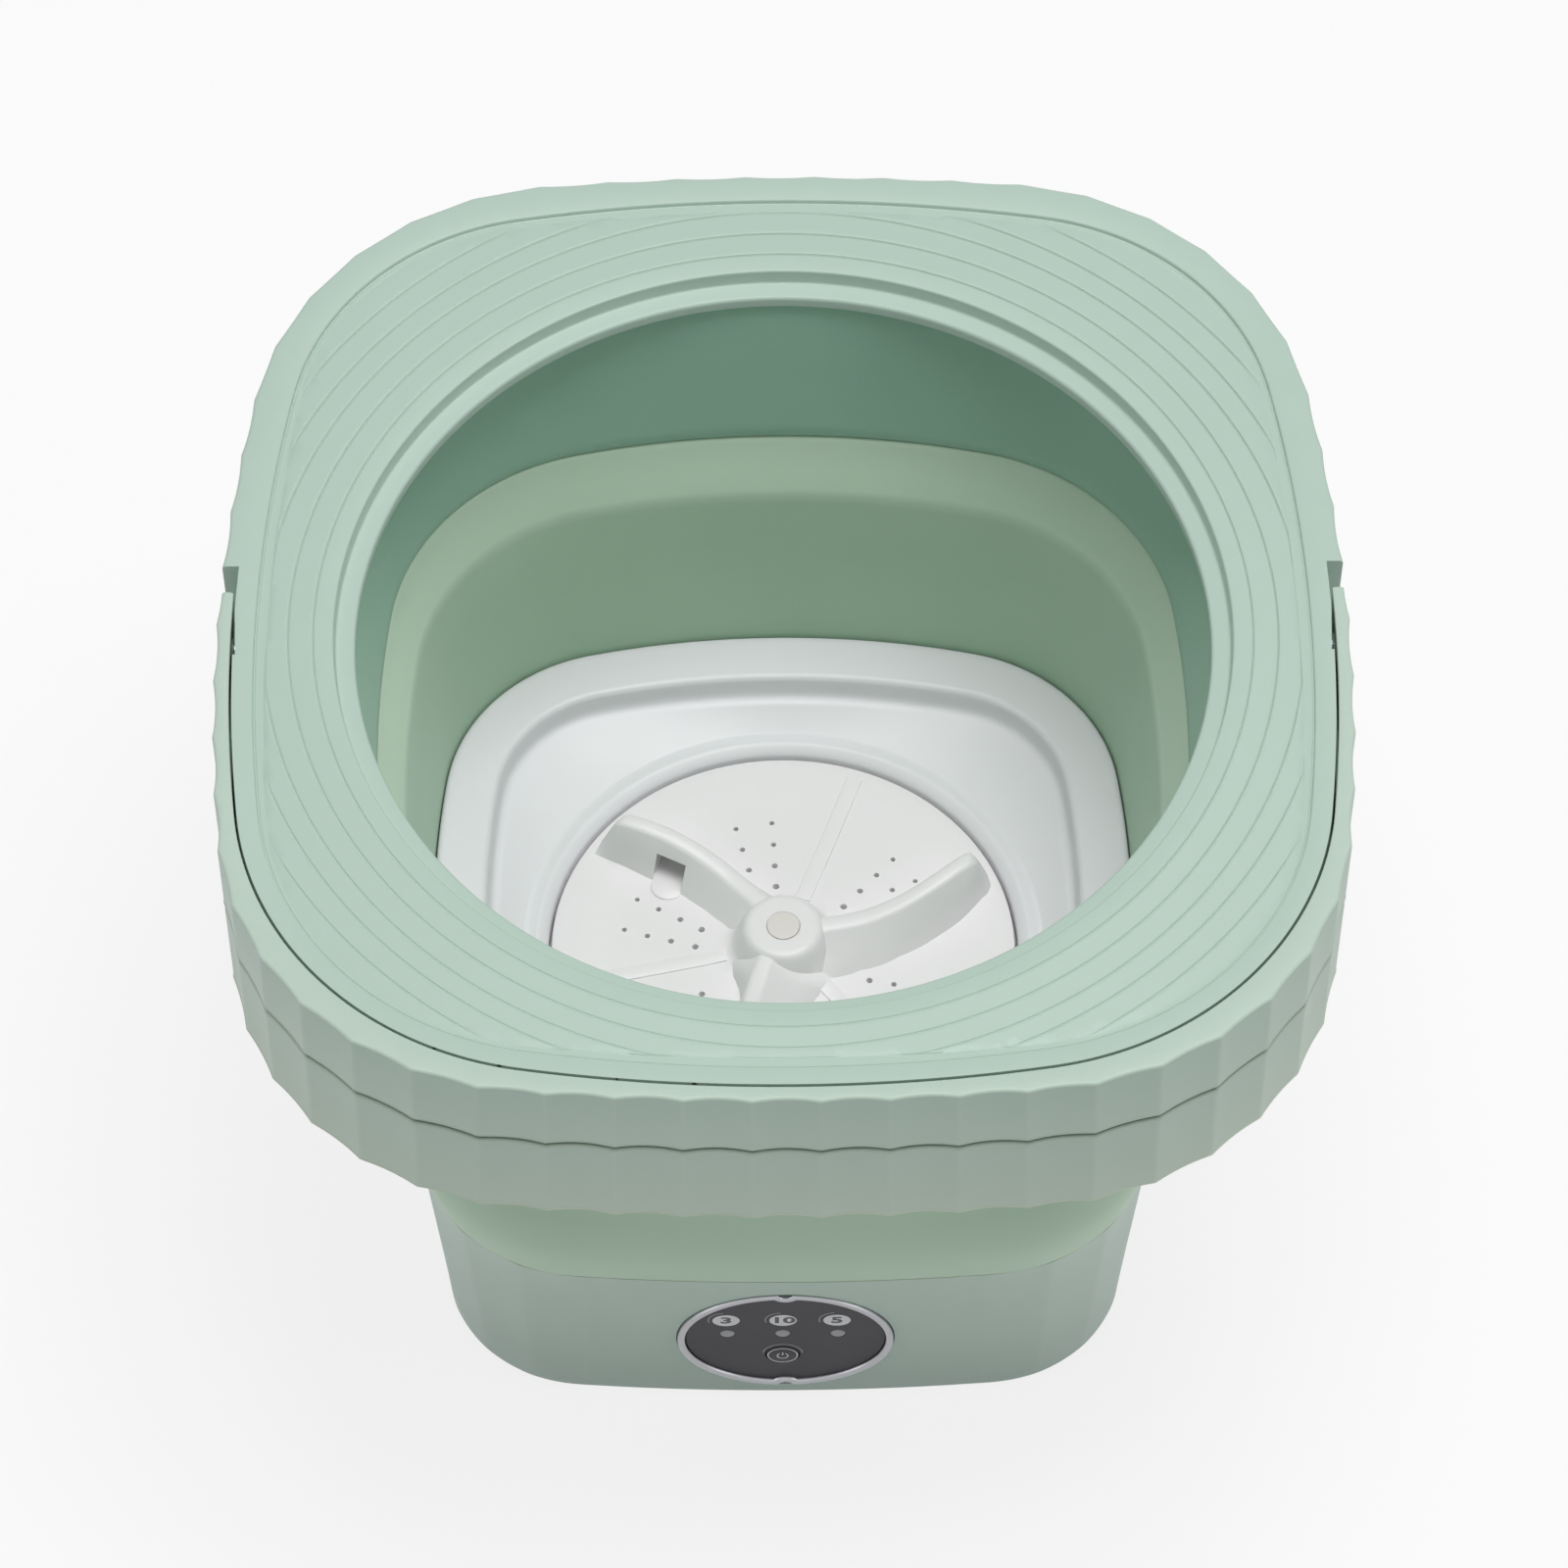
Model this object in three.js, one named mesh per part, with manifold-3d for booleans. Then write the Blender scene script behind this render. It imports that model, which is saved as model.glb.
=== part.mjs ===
// A folding mini washing machine: a moulded base with its drive, a soft tub that folds down,
// a fluted rim with a carry handle, and a pulsator in a white basin.
// Millimetres, +Z up, front towards -Y, origin on the floor under the middle of the base.

import * as THREE from "three";
import { mergeVertices } from "three/addons/utils/BufferGeometryUtils.js";
import Module from "manifold-3d";

const wasm = await Module();
wasm.setup();

// Whole machine
const totalHeight = 242;
const clearance = 0.3;
const runningGap = 0.08;
const overrun = 5;
const degree = Math.PI / 180;

// Rim outline, seen from above: four long arcs joined by four corner arcs
const rimHalfWidth = 164.5;
const rimHalfDepth = 162.5;
const rimWidestForward = 33;
const rimSideArc = 565;
const rimEndArc = 774;
const rimCorner = 95;
const rimDraft = 3.9 * degree;

// Lid seat, the raised border inside the rim outline
const seatInsetSide = 11.8;
const seatInsetFront = 12.6;
const seatInsetRear = 8.9;
const seatWidestForward = 23;
const seatSideArc = 500;
const seatEndArc = 472;
const seatFrontCorner = 90.5;
const seatRearCorner = 79.5;
const seatStep = 1.2;

// Flutes round the rim
const fluteCount = 56;
const fluteDepth = 1.3;
const stepsPerFlute = 2;

// Mouth in the top of the rim
const mouthInset = 39.3;
const mouthLedge = 5.7;
const mouthRadius = Math.min(rimHalfWidth, rimHalfDepth) - mouthInset;
const recessRadius = mouthRadius + mouthLedge;
const recessDepth = 6;
const recessSlope = 0.6;

// Rim heights and walls
const handleHeight = 28;
const bandHeight = 36.7;
const rimWall = 2.6;
const topWall = 2.4;
const ringWall = 2.4;
const ringWallOffset = 6.2;
const edgeRound = 0.8;

// Carry handle
const handleGap = 0.7;
const pivotBehind = 5.5;
const earReach = 11.7;
const earRound = 13.7;
const notchLength = 8.5;
const pinRadius = 3;
const pinGrip = 2.4;
const earClearance = 1.7;
const earInset = 0.7;

// Soft tub: the inner face where it meets the basin
const tubSideShare = 0.61702;
const tubEndShare = 0.62154;
const tubHalfWidth = tubSideShare * rimHalfWidth;
const tubHalfDepth = tubEndShare * rimHalfDepth;
const tubSideArc = 330;
const tubEndArc = 260;
const tubCorner = 54;
const softWall = 2.6;
const foldDrop = 1;
const foldRise = 16.5;
const foldLowGrow = 7.6;
const foldHighGrow = 15.5;
const rimOverhang = rimHalfWidth - tubHalfWidth;
const neckShare = 0.35714;
const mouthShare = 0.40476;
const flangeShare = 0.66667;
const tubNeckGrow = neckShare * rimOverhang;
const tubMouthGrow = mouthShare * rimOverhang;
const tubFlangeGrow = flangeShare * rimOverhang;
const neckDrop = 9.4;
const flangeWall = 2.4;

// Base housing
const baseInsetSide = 2.2;
const baseInsetEnd = 1.7;
const baseHalfWidth = tubHalfWidth - baseInsetSide;
const baseHalfDepth = tubHalfDepth - baseInsetEnd;
const baseSideArc = 735;
const baseEndArc = 735;
const baseCorner = 40;
const baseTaper = 7.5 * degree;
const baseTop = 71;
const baseWall = 2.5;
const footHeight = 2;

// Basin
const basinTop = 98;
const basinWall = 2.4;
const borderWidth = 12.8;
const floorDrop = 14;
const wellShare = 0.67327;
const wellRadius = wellShare * Math.min(tubHalfWidth, tubHalfDepth);
const wellDrop = 8.4;
const wellLip = 1.6;
const lipWidth = 5.7;

// Pulsator
const pulsatorClearance = 0.8;
const vaneCount = 3;
const vaneHeight = 18;
const hubTopRadius = 11;
const hubBaseRadius = 15;
const hubRise = 13.5;

// Drive
const gearModule = 1.5;
const wheelTeeth = 40;
const pinionTeeth = 10;
const gearWidth = 8;
const shaftRadius = 4;
const motorRadius = 17.5;
const motorShaftRadius = 1.6;

// Colours and finishes
const green = finish(0xb4cbbf, 0.42);
const greenDark = finish(0x9fb5a8, 0.45);
const softGreen = finish(0x86a58f, 0.6);
const white = finish(0xe2e6e7, 0.3);
const grey = finish(0x4a494e, 0.35);
const silver = finish(0xb4b4b8, 0.28, 0.9);
const black = finish(0x1d1d1f, 0.7);
const steel = finish(0xbfc3c6, 0.3, 1);
const brass = finish(0xb99a55, 0.35, 1);
const board = finish(0x2f6b45, 0.5);
const lamp = finish(0xa9a9ab, 0.3);
const natural = finish(0xe8e2d2, 0.45);

function finish(color, roughness, metalness = 0) {
  return new THREE.MeshStandardMaterial({ color, roughness, metalness });
}

// Heights worked out from the sizes above
const seatTop = totalHeight - seatStep;
const bandTop = totalHeight - handleHeight - clearance;
const bandBottom = bandTop - bandHeight;
const foldHigh = bandBottom - foldDrop;
const foldLow = foldHigh - foldRise;
const floorTop = basinTop - floorDrop;
const wellFloor = floorTop - wellDrop;
const gearCentre = (gearModule * (wheelTeeth + pinionTeeth)) / 2;

// Outlines

const rimOutline = {
  halfWidth: rimHalfWidth,
  front: rimHalfDepth,
  rear: rimHalfDepth,
  widest: rimWidestForward,
  sideArc: rimSideArc,
  endArc: rimEndArc,
  frontCorner: rimCorner,
  rearCorner: rimCorner,
};

const seatOutline = {
  halfWidth: rimHalfWidth - seatInsetSide,
  front: rimHalfDepth - seatInsetFront,
  rear: rimHalfDepth - seatInsetRear,
  widest: seatWidestForward,
  sideArc: seatSideArc,
  endArc: seatEndArc,
  frontCorner: seatFrontCorner,
  rearCorner: seatRearCorner,
};

const tubOutline = evenOutline(tubHalfWidth, tubHalfDepth, tubSideArc, tubEndArc, tubCorner);
const baseOutline = evenOutline(baseHalfWidth, baseHalfDepth, baseSideArc, baseEndArc, baseCorner);

function evenOutline(halfWidth, halfDepth, sideArc, endArc, corner) {
  return {
    halfWidth,
    front: halfDepth,
    rear: halfDepth,
    widest: 0,
    sideArc,
    endArc,
    frontCorner: corner,
    rearCorner: corner,
  };
}

// Centre of a corner arc that touches two long arcs from inside
function cornerCentre(a, reachA, b, reachB, end) {
  const span = b.clone().sub(a);
  const length = span.length();
  const along = (reachA * reachA - reachB * reachB + length * length) / (2 * length);
  const across = Math.sqrt(Math.max(reachA * reachA - along * along, 0));
  const unit = span.divideScalar(length);
  const normal = new THREE.Vector2(-unit.y, unit.x);
  const one = a.clone().addScaledVector(unit, along).addScaledVector(normal, across);
  const two = a.clone().addScaledVector(unit, along).addScaledVector(normal, -across);
  return Math.sign(end) * (one.y - two.y) > 0 ? one : two;
}

// The arcs of the right half, from the middle of the front to the middle of the rear
function halfArcs(o) {
  const side = new THREE.Vector2(o.halfWidth - o.sideArc, -o.widest);
  const front = new THREE.Vector2(0, o.endArc - o.front);
  const rear = new THREE.Vector2(0, o.rear - o.endArc);
  const low = cornerCentre(front, o.endArc - o.frontCorner, side, o.sideArc - o.frontCorner, -1);
  const high = cornerCentre(rear, o.endArc - o.rearCorner, side, o.sideArc - o.rearCorner, 1);
  const turns = [
    -Math.PI / 2,
    signedAngle(low.clone().sub(front)),
    signedAngle(low.clone().sub(side)),
    signedAngle(high.clone().sub(side)),
    signedAngle(high.clone().sub(rear)),
    Math.PI / 2,
  ];
  const centres = [front, low, side, high, rear];
  const radii = [o.endArc, o.frontCorner, o.sideArc, o.rearCorner, o.endArc];
  return centres.map((centre, i) => ({ centre, radius: radii[i], from: turns[i], to: turns[i + 1] }));
}

function signedAngle(v) {
  return Math.atan2(v.y, v.x);
}

// Points equally spaced round an outline, each with its outward normal
function walk(outline, count) {
  const arcs = halfArcs(outline);
  const half = arcs.reduce((sum, arc) => sum + arc.radius * (arc.to - arc.from), 0);
  const points = [];
  for (let i = 0; i < count; i++) {
    const travel = (i / count) * 2 * half;
    const mirrored = travel > half;
    const point = pointOnArcs(arcs, mirrored ? 2 * half - travel : travel);
    if (mirrored) {
      point.x = -point.x;
      point.nx = -point.nx;
    }
    points.push(point);
  }
  return points;
}

function pointOnArcs(arcs, travel) {
  let left = travel;
  for (const arc of arcs) {
    const length = arc.radius * (arc.to - arc.from);
    if (left <= length || arc === arcs[arcs.length - 1]) {
      const turn = arc.from + left / arc.radius;
      const nx = Math.cos(turn);
      const ny = Math.sin(turn);
      return { x: arc.centre.x + arc.radius * nx, y: arc.centre.y + arc.radius * ny, nx, ny };
    }
    left -= length;
  }
}

// One ring of a loft: the outline grown outwards by a distance, at a height
function ring(points, grow, z, dip = () => 0) {
  return points.map((p, i) => {
    const out = grow - dip(i, p);
    return [p.x + p.nx * out, p.y + p.ny * out, z];
  });
}

function circleRing(radius, z, count) {
  const points = [];
  for (let i = 0; i < count; i++) {
    const turn = (i / count) * 2 * Math.PI - Math.PI / 2;
    points.push([radius * Math.cos(turn), radius * Math.sin(turn), z]);
  }
  return points;
}

// Depth of the flutes at a point: full in the middle of each hollow, none on the peaks
function fluteDip(i) {
  return i % stepsPerFlute === 0 ? fluteDepth : 0;
}

// Solids from rings

// Joins two rings, which may have different counts, with a strip of triangles
function strip(a, b, startA, startB, index) {
  let i = 0;
  let j = 0;
  while (i < a.length || j < b.length) {
    const nextA = (i + 1) / a.length;
    const nextB = (j + 1) / b.length;
    const cornerA = startA + (i % a.length);
    const cornerB = startB + (j % b.length);
    if (j >= b.length || (i < a.length && nextA <= nextB)) {
      index.push(cornerA, startA + ((i + 1) % a.length), cornerB);
      i++;
    } else {
      index.push(cornerA, startB + ((j + 1) % b.length), cornerB);
      j++;
    }
  }
}

function meshFrom(rings, closedLoop) {
  const position = [];
  const starts = [];
  for (const one of rings) {
    starts.push(position.length / 3);
    for (const point of one) position.push(...point);
  }
  const index = [];
  const last = closedLoop ? rings.length : rings.length - 1;
  for (let k = 0; k < last; k++) {
    const next = (k + 1) % rings.length;
    strip(rings[k], rings[next], starts[k], starts[next], index);
  }
  return { position, starts, index };
}

// A loft whose profile closes on itself, such as a frame or a wall
function hollowLoft(rings) {
  const { position, index } = meshFrom(rings, true);
  return outward(position, index);
}

// A loft with a flat face at each end
function blockLoft(rings) {
  const { position, starts, index } = meshFrom(rings, false);
  const top = rings.length - 1;
  cap(rings[0], starts[0], position, index, true);
  cap(rings[top], starts[top], position, index, false);
  return outward(position, index);
}

function cap(one, start, position, index, reversed) {
  const centre = position.length / 3;
  const middle = [0, 1, 2].map((axis) => one.reduce((sum, p) => sum + p[axis], 0) / one.length);
  position.push(...middle);
  for (let i = 0; i < one.length; i++) {
    const a = start + i;
    const b = start + ((i + 1) % one.length);
    if (reversed) index.push(b, a, centre);
    else index.push(a, b, centre);
  }
}

// A geometry with its faces turned outwards
function outward(position, index) {
  const geometry = new THREE.BufferGeometry();
  geometry.setAttribute("position", new THREE.Float32BufferAttribute(position, 3));
  geometry.setIndex(volume(position, index) < 0 ? index.reverse() : index);
  return geometry;
}

function volume(position, index) {
  let sum = 0;
  const corner = (k) => new THREE.Vector3().fromArray(position, 3 * index[k]);
  for (let k = 0; k < index.length; k += 3) {
    sum += corner(k).dot(corner(k + 1).cross(corner(k + 2)));
  }
  return sum;
}

// Booleans

function solid(geometry) {
  const bare = geometry.clone();
  bare.deleteAttribute("normal");
  bare.deleteAttribute("uv");
  const welded = mergeVertices(bare);
  const vertProperties = new Float32Array(welded.attributes.position.array);
  const triVerts = new Uint32Array(welded.index.array);
  return new wasm.Manifold(new wasm.Mesh({ numProp: 3, vertProperties, triVerts }));
}

function fromSolid(body) {
  const mesh = body.getMesh();
  const geometry = new THREE.BufferGeometry();
  geometry.setAttribute("position", new THREE.Float32BufferAttribute(mesh.vertProperties, 3));
  geometry.setIndex(Array.from(mesh.triVerts));
  return geometry;
}

function cut(geometry, ...cutters) {
  return fromSolid(cutters.reduce((body, one) => body.subtract(solid(one)), solid(geometry)));
}

function join(geometry, ...others) {
  return fromSolid(others.reduce((body, one) => body.add(solid(one)), solid(geometry)));
}

function keep(geometry, other) {
  return fromSolid(solid(geometry).intersect(solid(other)));
}

// Simple shapes

// A box from its lowest to its highest corner
function box(low, high) {
  const size = high.map((value, axis) => value - low[axis]);
  const middle = high.map((value, axis) => (value + low[axis]) / 2);
  return new THREE.BoxGeometry(...size).translate(...middle);
}

// A revolved shape; the profile is a closed list of [radius, height]
function turned(profile, steps) {
  const closed = [...profile, profile[0]].map(([r, z]) => new THREE.Vector2(r, z));
  const lathe = new THREE.LatheGeometry(closed, steps).rotateX(Math.PI / 2);
  lathe.deleteAttribute("normal");
  lathe.deleteAttribute("uv");
  const welded = mergeVertices(lathe);
  const index = [];
  const source = welded.index.array;
  for (let k = 0; k < source.length; k += 3) {
    const [a, b, c] = [source[k], source[k + 1], source[k + 2]];
    if (a !== b && b !== c && c !== a) index.push(a, b, c);
  }
  return outward(Array.from(welded.attributes.position.array), index);
}

// A round rod standing on a height
function rod(radius, low, high, steps = 16) {
  return turned([[0, low], [radius, low], [radius, high], [0, high]], steps);
}

// A round sleeve
function sleeve(inner, outer, low, high, steps = 24) {
  return turned([[inner, low], [outer, low], [outer, high], [inner, high]], steps);
}

// A rod lying along X
function crossRod(radius, from, to, steps = 16) {
  return rod(radius, Math.min(from, to), Math.max(from, to), steps).rotateY(Math.PI / 2);
}

function extruded(points, low, high) {
  const shape = new THREE.Shape(points.map(([x, y]) => new THREE.Vector2(x, y)));
  const options = { depth: high - low, bevelEnabled: false };
  return new THREE.ExtrudeGeometry(shape, options).translate(0, 0, low);
}

// The four diagonal places where screws, posts and feet stand
function corners(reach) {
  const signs = [[1, 1], [-1, 1], [-1, -1], [1, -1]];
  return signs.map(([x, y]) => [x * reach, y * reach]);
}

const diagonalSteps = 360;

// Half of the diagonal of an outline with round corners, as a distance along X and Y
function diagonalReach(outline, grow) {
  const points = walk(outline, diagonalSteps);
  const out = points.map((p) => Math.min(p.x + p.nx * grow, p.y + p.ny * grow));
  return Math.max(...out);
}

const model = new THREE.Group();

function add(name, geometry, material, parent = model) {
  const mesh = new THREE.Mesh(geometry, material);
  mesh.name = name;
  parent.add(mesh);
  return mesh;
}

// Rim

const rimSteps = fluteCount * stepsPerFlute;
const seatSteps = 44;
const rimPoints = walk(rimOutline, rimSteps);
const seatPoints = walk(seatOutline, seatSteps);
const tubSteps = 36;
const tubPoints = walk(tubOutline, tubSteps);

function draftAt(z) {
  return -(totalHeight - z) * Math.tan(rimDraft);
}

function fluted(grow, z) {
  return ring(rimPoints, grow + draftAt(z), z, fluteDip);
}

function smoothRim(grow, z) {
  return ring(walk(rimOutline, seatSteps), grow - fluteDepth + draftAt(z), z);
}

const notchRear = pivotBehind + earReach + notchLength;
const coverBottom = bandTop + clearance;
const plateUnder = seatTop - topWall;
const ledgeTop = totalHeight - recessDepth;
const ledgeUnder = ledgeTop - topWall;
const lipDrop = 4.5;
const lipWall = 2;

function coverShell() {
  return hollowLoft([
    circleRing(mouthRadius, ledgeTop - lipDrop, seatSteps),
    circleRing(mouthRadius, ledgeTop - edgeRound, seatSteps),
    circleRing(mouthRadius + edgeRound, ledgeTop, seatSteps),
    circleRing(recessRadius, ledgeTop, seatSteps),
    circleRing(recessRadius + recessSlope, seatTop, seatSteps),
    ring(seatPoints, -edgeRound, seatTop),
    ring(seatPoints, 0, totalHeight),
    fluted(-edgeRound, totalHeight),
    fluted(0, totalHeight - edgeRound),
    fluted(0, coverBottom),
    smoothRim(-rimWall, coverBottom),
    smoothRim(-rimWall, plateUnder),
    circleRing(recessRadius + topWall, plateUnder, seatSteps),
    circleRing(recessRadius + topWall, ledgeUnder, seatSteps),
    circleRing(mouthRadius + lipWall, ledgeUnder, seatSteps),
    circleRing(mouthRadius + lipWall, ledgeTop - lipDrop, seatSteps),
  ]);
}

const rimReach = Math.max(rimHalfWidth, rimHalfDepth) + overrun;
const ringWallX = rimHalfWidth - seatInsetSide + ringWallOffset - ringWall;

// The wall inside the handle, thick enough for the handle's room to be cut from it
function coverRingWall() {
  const loop = hollowLoft([
    ring(seatPoints, ringWallOffset + ringWall, coverBottom),
    ring(seatPoints, ringWallOffset + ringWall, seatTop),
    ring(seatPoints, ringWallOffset - ringWall, seatTop),
    ring(seatPoints, ringWallOffset - ringWall, coverBottom),
  ]);
  const front = box([-rimReach, -rimReach, coverBottom - overrun], [rimReach, notchRear + ringWall, totalHeight]);
  return keep(loop, front);
}

// Walls that close the two ends of the rear part, behind the ends of the handle
function endWall(side) {
  const inside = blockLoft([
    smoothRim(-clearance, coverBottom),
    smoothRim(-clearance, seatTop),
  ]);
  const near = side * ringWallX;
  const far = side * rimReach;
  const low = [Math.min(near, far), notchRear, coverBottom - overrun];
  return keep(inside, box(low, [Math.max(near, far), notchRear + ringWall, totalHeight]));
}

const flangeTop = ledgeTop - lipDrop - clearance;
const flangeBottom = flangeTop - flangeWall;
const ribGrow = tubMouthGrow + softWall + clearance;
const ribWall = 3;
const screwGrow = (ribGrow + ribWall + tubFlangeGrow) / 2;
const clampReach = diagonalReach(tubOutline, screwGrow);
const bossRadius = 4.2;
const screwShank = 1.5;
const screwHead = 3.2;
const screwHeadHeight = 1.7;
const screwSteps = 8;

// The rib that presses on the tub's flange
function coverRib() {
  return hollowLoft([
    ring(tubPoints, ribGrow, flangeTop + clearance),
    ring(tubPoints, ribGrow, plateUnder + topWall / 2),
    ring(tubPoints, ribGrow + ribWall, plateUnder + topWall / 2),
    ring(tubPoints, ribGrow + ribWall, flangeTop + clearance),
  ]);
}

// The room in front that the handle takes up
function handleRoom() {
  const block = box([-rimReach, -rimReach, bandTop - overrun], [rimReach, notchRear, totalHeight + overrun]);
  const core = blockLoft([
    ring(seatPoints, ringWallOffset, bandTop - 2 * overrun),
    ring(seatPoints, ringWallOffset, totalHeight + 2 * overrun),
  ]);
  return cut(block, core);
}

const pivotZ = totalHeight - handleHeight / 2;
const earRelief = 1;
const seatWidest = seatOutline.halfWidth;
const pocketX = seatWidest + ringWallOffset - earClearance;
const pocketFront = pivotBehind - earReach + earRelief;
const pinRoot = pocketX - 2 * pinRadius;

function pivotPocket(side) {
  const near = side * pocketX;
  const far = side * rimReach;
  const low = [Math.min(near, far), pocketFront, bandTop - overrun];
  const high = [Math.max(near, far), notchRear, totalHeight + overrun];
  return box(low, high);
}

function pivotBoss(side) {
  const boss = crossRod(2 * pinRadius, side * pinRoot, side * pocketX);
  return boss.translate(0, pivotBehind, pivotZ);
}

function pinHole(side) {
  const start = pinRoot + screwShank;
  const hole = crossRod(pinRadius + runningGap, side * start, side * (pocketX + overrun));
  return hole.translate(0, pivotBehind, pivotZ);
}

function rimCover() {
  const bosses = corners(clampReach).map(([x, y]) => {
    return rod(bossRadius, flangeTop + clearance, plateUnder + topWall / 2, 12).translate(x, y, 0);
  });
  const holes = corners(clampReach).map(([x, y]) => {
    return rod(screwShank + clearance, flangeTop, plateUnder - clearance, 8).translate(x, y, 0);
  });
  const sides = [-1, 1];
  const body = join(coverShell(), coverRingWall(), coverRib(), ...sides.map(endWall), ...bosses);
  const opened = cut(body, handleRoom(), ...sides.map(pivotPocket));
  return cut(join(opened, ...sides.map(pivotBoss)), ...sides.map(pinHole), ...holes);
}

add("rim_cover", rimCover(), green);

const shelfWall = 2.6;
const shelfInset = 1;

function rimSkirt() {
  return hollowLoft([
    fluted(0, bandTop - edgeRound / 2),
    fluted(0, bandBottom),
    smoothRim(-rimWall, bandBottom),
    smoothRim(-rimWall, bandTop - shelfWall),
    ring(seatPoints, shelfInset, bandTop - shelfWall),
    ring(seatPoints, shelfInset, bandTop),
    fluted(-edgeRound, bandTop),
  ]);
}

add("rim_skirt", rimSkirt(), greenDark);

const handleBottom = totalHeight - handleHeight + clearance;
const handleInner = ringWallOffset + handleGap;

function handleStrip() {
  return hollowLoft([
    fluted(0, handleBottom),
    fluted(0, totalHeight - edgeRound),
    fluted(-edgeRound, totalHeight),
    ring(seatPoints, handleInner, totalHeight),
    ring(seatPoints, handleInner, handleBottom),
  ]);
}

// Takes the corner off an ear so that it clears the band as the handle turns
function earCorner() {
  const low = [-rimReach, pivotBehind, handleBottom - overrun];
  const block = box(low, [rimReach, pivotBehind + 2 * earRound, pivotZ]);
  const round = crossRod(earRound, -rimReach - overrun, rimReach + overrun, 36);
  return cut(block, round.translate(0, pivotBehind, pivotZ));
}

const earInner = seatWidest + handleInner - earInset;
const earBossInner = pocketX + clearance;

// A round boss inside each end of the handle, which holds the pivot pin
function earBoss(side) {
  const boss = crossRod(2 * pinRadius, side * earBossInner, side * (earInner + clearance));
  return boss.translate(0, pivotBehind, pivotZ);
}

function carryHandle() {
  const rearEdge = pivotBehind + earReach;
  const behind = box([-rimReach, rearEdge, handleBottom - overrun], [rimReach, rimReach, totalHeight + overrun]);
  const inside = box(
    [-earInner, pocketFront - overrun, handleBottom - overrun],
    [earInner, rearEdge + overrun, totalHeight + overrun],
  );
  const sides = [-1, 1];
  const holes = sides.map((side) => {
    const hole = crossRod(pinRadius + runningGap, side * (earBossInner - overrun), side * (earBossInner + pinGrip));
    return hole.translate(0, pivotBehind, pivotZ);
  });
  const strip = cut(handleStrip(), behind, inside, earCorner());
  return cut(join(strip, ...sides.map(earBoss)), ...holes);
}

add("carry_handle", carryHandle(), green);

const pinEnd = earBossInner + pinGrip - clearance;

for (const [name, side] of [["handle_pin_left", -1], ["handle_pin_right", 1]]) {
  const start = pinRoot + screwShank + clearance;
  const pin = crossRod(pinRadius, side * start, side * pinEnd);
  add(name, pin.translate(0, pivotBehind, pivotZ), steel);
}

// Soft tub

function upperWall() {
  const holes = corners(clampReach).map(([x, y]) => {
    return rod(screwShank + clearance, flangeBottom - overrun, flangeTop + overrun, 8).translate(x, y, 0);
  });
  const neck = flangeTop - neckDrop;
  const wall = hollowLoft([
    ring(tubPoints, foldHighGrow, foldHigh),
    ring(tubPoints, tubNeckGrow, neck),
    ring(tubPoints, tubMouthGrow, flangeTop),
    ring(tubPoints, tubFlangeGrow, flangeTop),
    ring(tubPoints, tubFlangeGrow, flangeBottom),
    ring(tubPoints, tubMouthGrow + softWall, flangeBottom),
    ring(tubPoints, tubNeckGrow + softWall, neck),
    ring(tubPoints, foldHighGrow + softWall, foldHigh),
  ]);
  return cut(wall, ...holes);
}

add("tub_upper_wall", upperWall(), softGreen);

const foldTop = foldHigh - clearance;
const tubFoot = baseTop + clearance;
const footFlange = 2.6;
const footInset = 4;
const foldSpan = foldTop - foldLow;
const foldReach = foldHighGrow - foldLowGrow;
const seamPoints = walk(baseOutline, tubSteps);
const seamGrow = (baseTop - footHeight) * Math.tan(baseTaper) - clearance;

// The outer face bulges over the base's edge, then draws in: rises above the foot, distances out
// from the base's edge, and shares of the way from the base's outline to the tub's
const bulgeRises = [0, 6, 12, 19, 27, 37, 50];
const bulgeGrows = [0, 1.7, 2.9, 3, 1.9, -0.6, -2];
const bulgeShares = [0, 0, 0, 0.04, 0.2, 0.6, 1];
// The inner face of the fold, as shares of its height and its reach
const foldShares = [[0, 0], [0.3, 0.2], [0.7, 0.62], [1, 1]];

// A ring part of the way from the base's outline to the tub's
function bulgeRing(rise, grow, share) {
  const from = ring(seamPoints, seamGrow + grow, tubFoot + rise);
  const wall = baseHalfDepth + seamGrow + grow - tubHalfDepth;
  const to = ring(tubPoints, wall, tubFoot + rise);
  return from.map((p, i) => p.map((value, axis) => value + share * (to[i][axis] - value)));
}

function lowerWall() {
  const outer = bulgeRises.map((rise, k) => bulgeRing(rise, bulgeGrows[k], bulgeShares[k]));
  const foldInner = foldShares.map(([up, out]) => {
    return ring(tubPoints, foldLowGrow + out * foldReach, foldLow + up * foldSpan);
  });
  const foldOuter = foldShares.map(([up, out]) => {
    return ring(tubPoints, foldLowGrow + softWall + out * foldReach, foldLow - softWall / 2 + up * foldSpan);
  });
  const top = ring(tubPoints, foldHighGrow + softWall, foldTop);
  return hollowLoft([
    ...outer,
    ...foldOuter,
    top,
    ...foldInner.reverse(),
    ring(tubPoints, 0, basinTop),
    ring(tubPoints, 0, tubFoot + footFlange),
    ring(tubPoints, -footInset, tubFoot + footFlange),
    ring(tubPoints, -footInset, tubFoot),
  ]);
}

add("tub_lower_wall", lowerWall(), softGreen);

const clampTop = flangeBottom - clearance;
const clampBottom = clampTop - flangeWall;

function screw(headLow, tip) {
  const seat = headLow + screwHeadHeight;
  const head = [[0, headLow], [screwHead, headLow], [screwHead, seat], [screwShank, seat]];
  return turned([...head, [screwShank, tip], [0, tip]], screwSteps);
}

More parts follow.
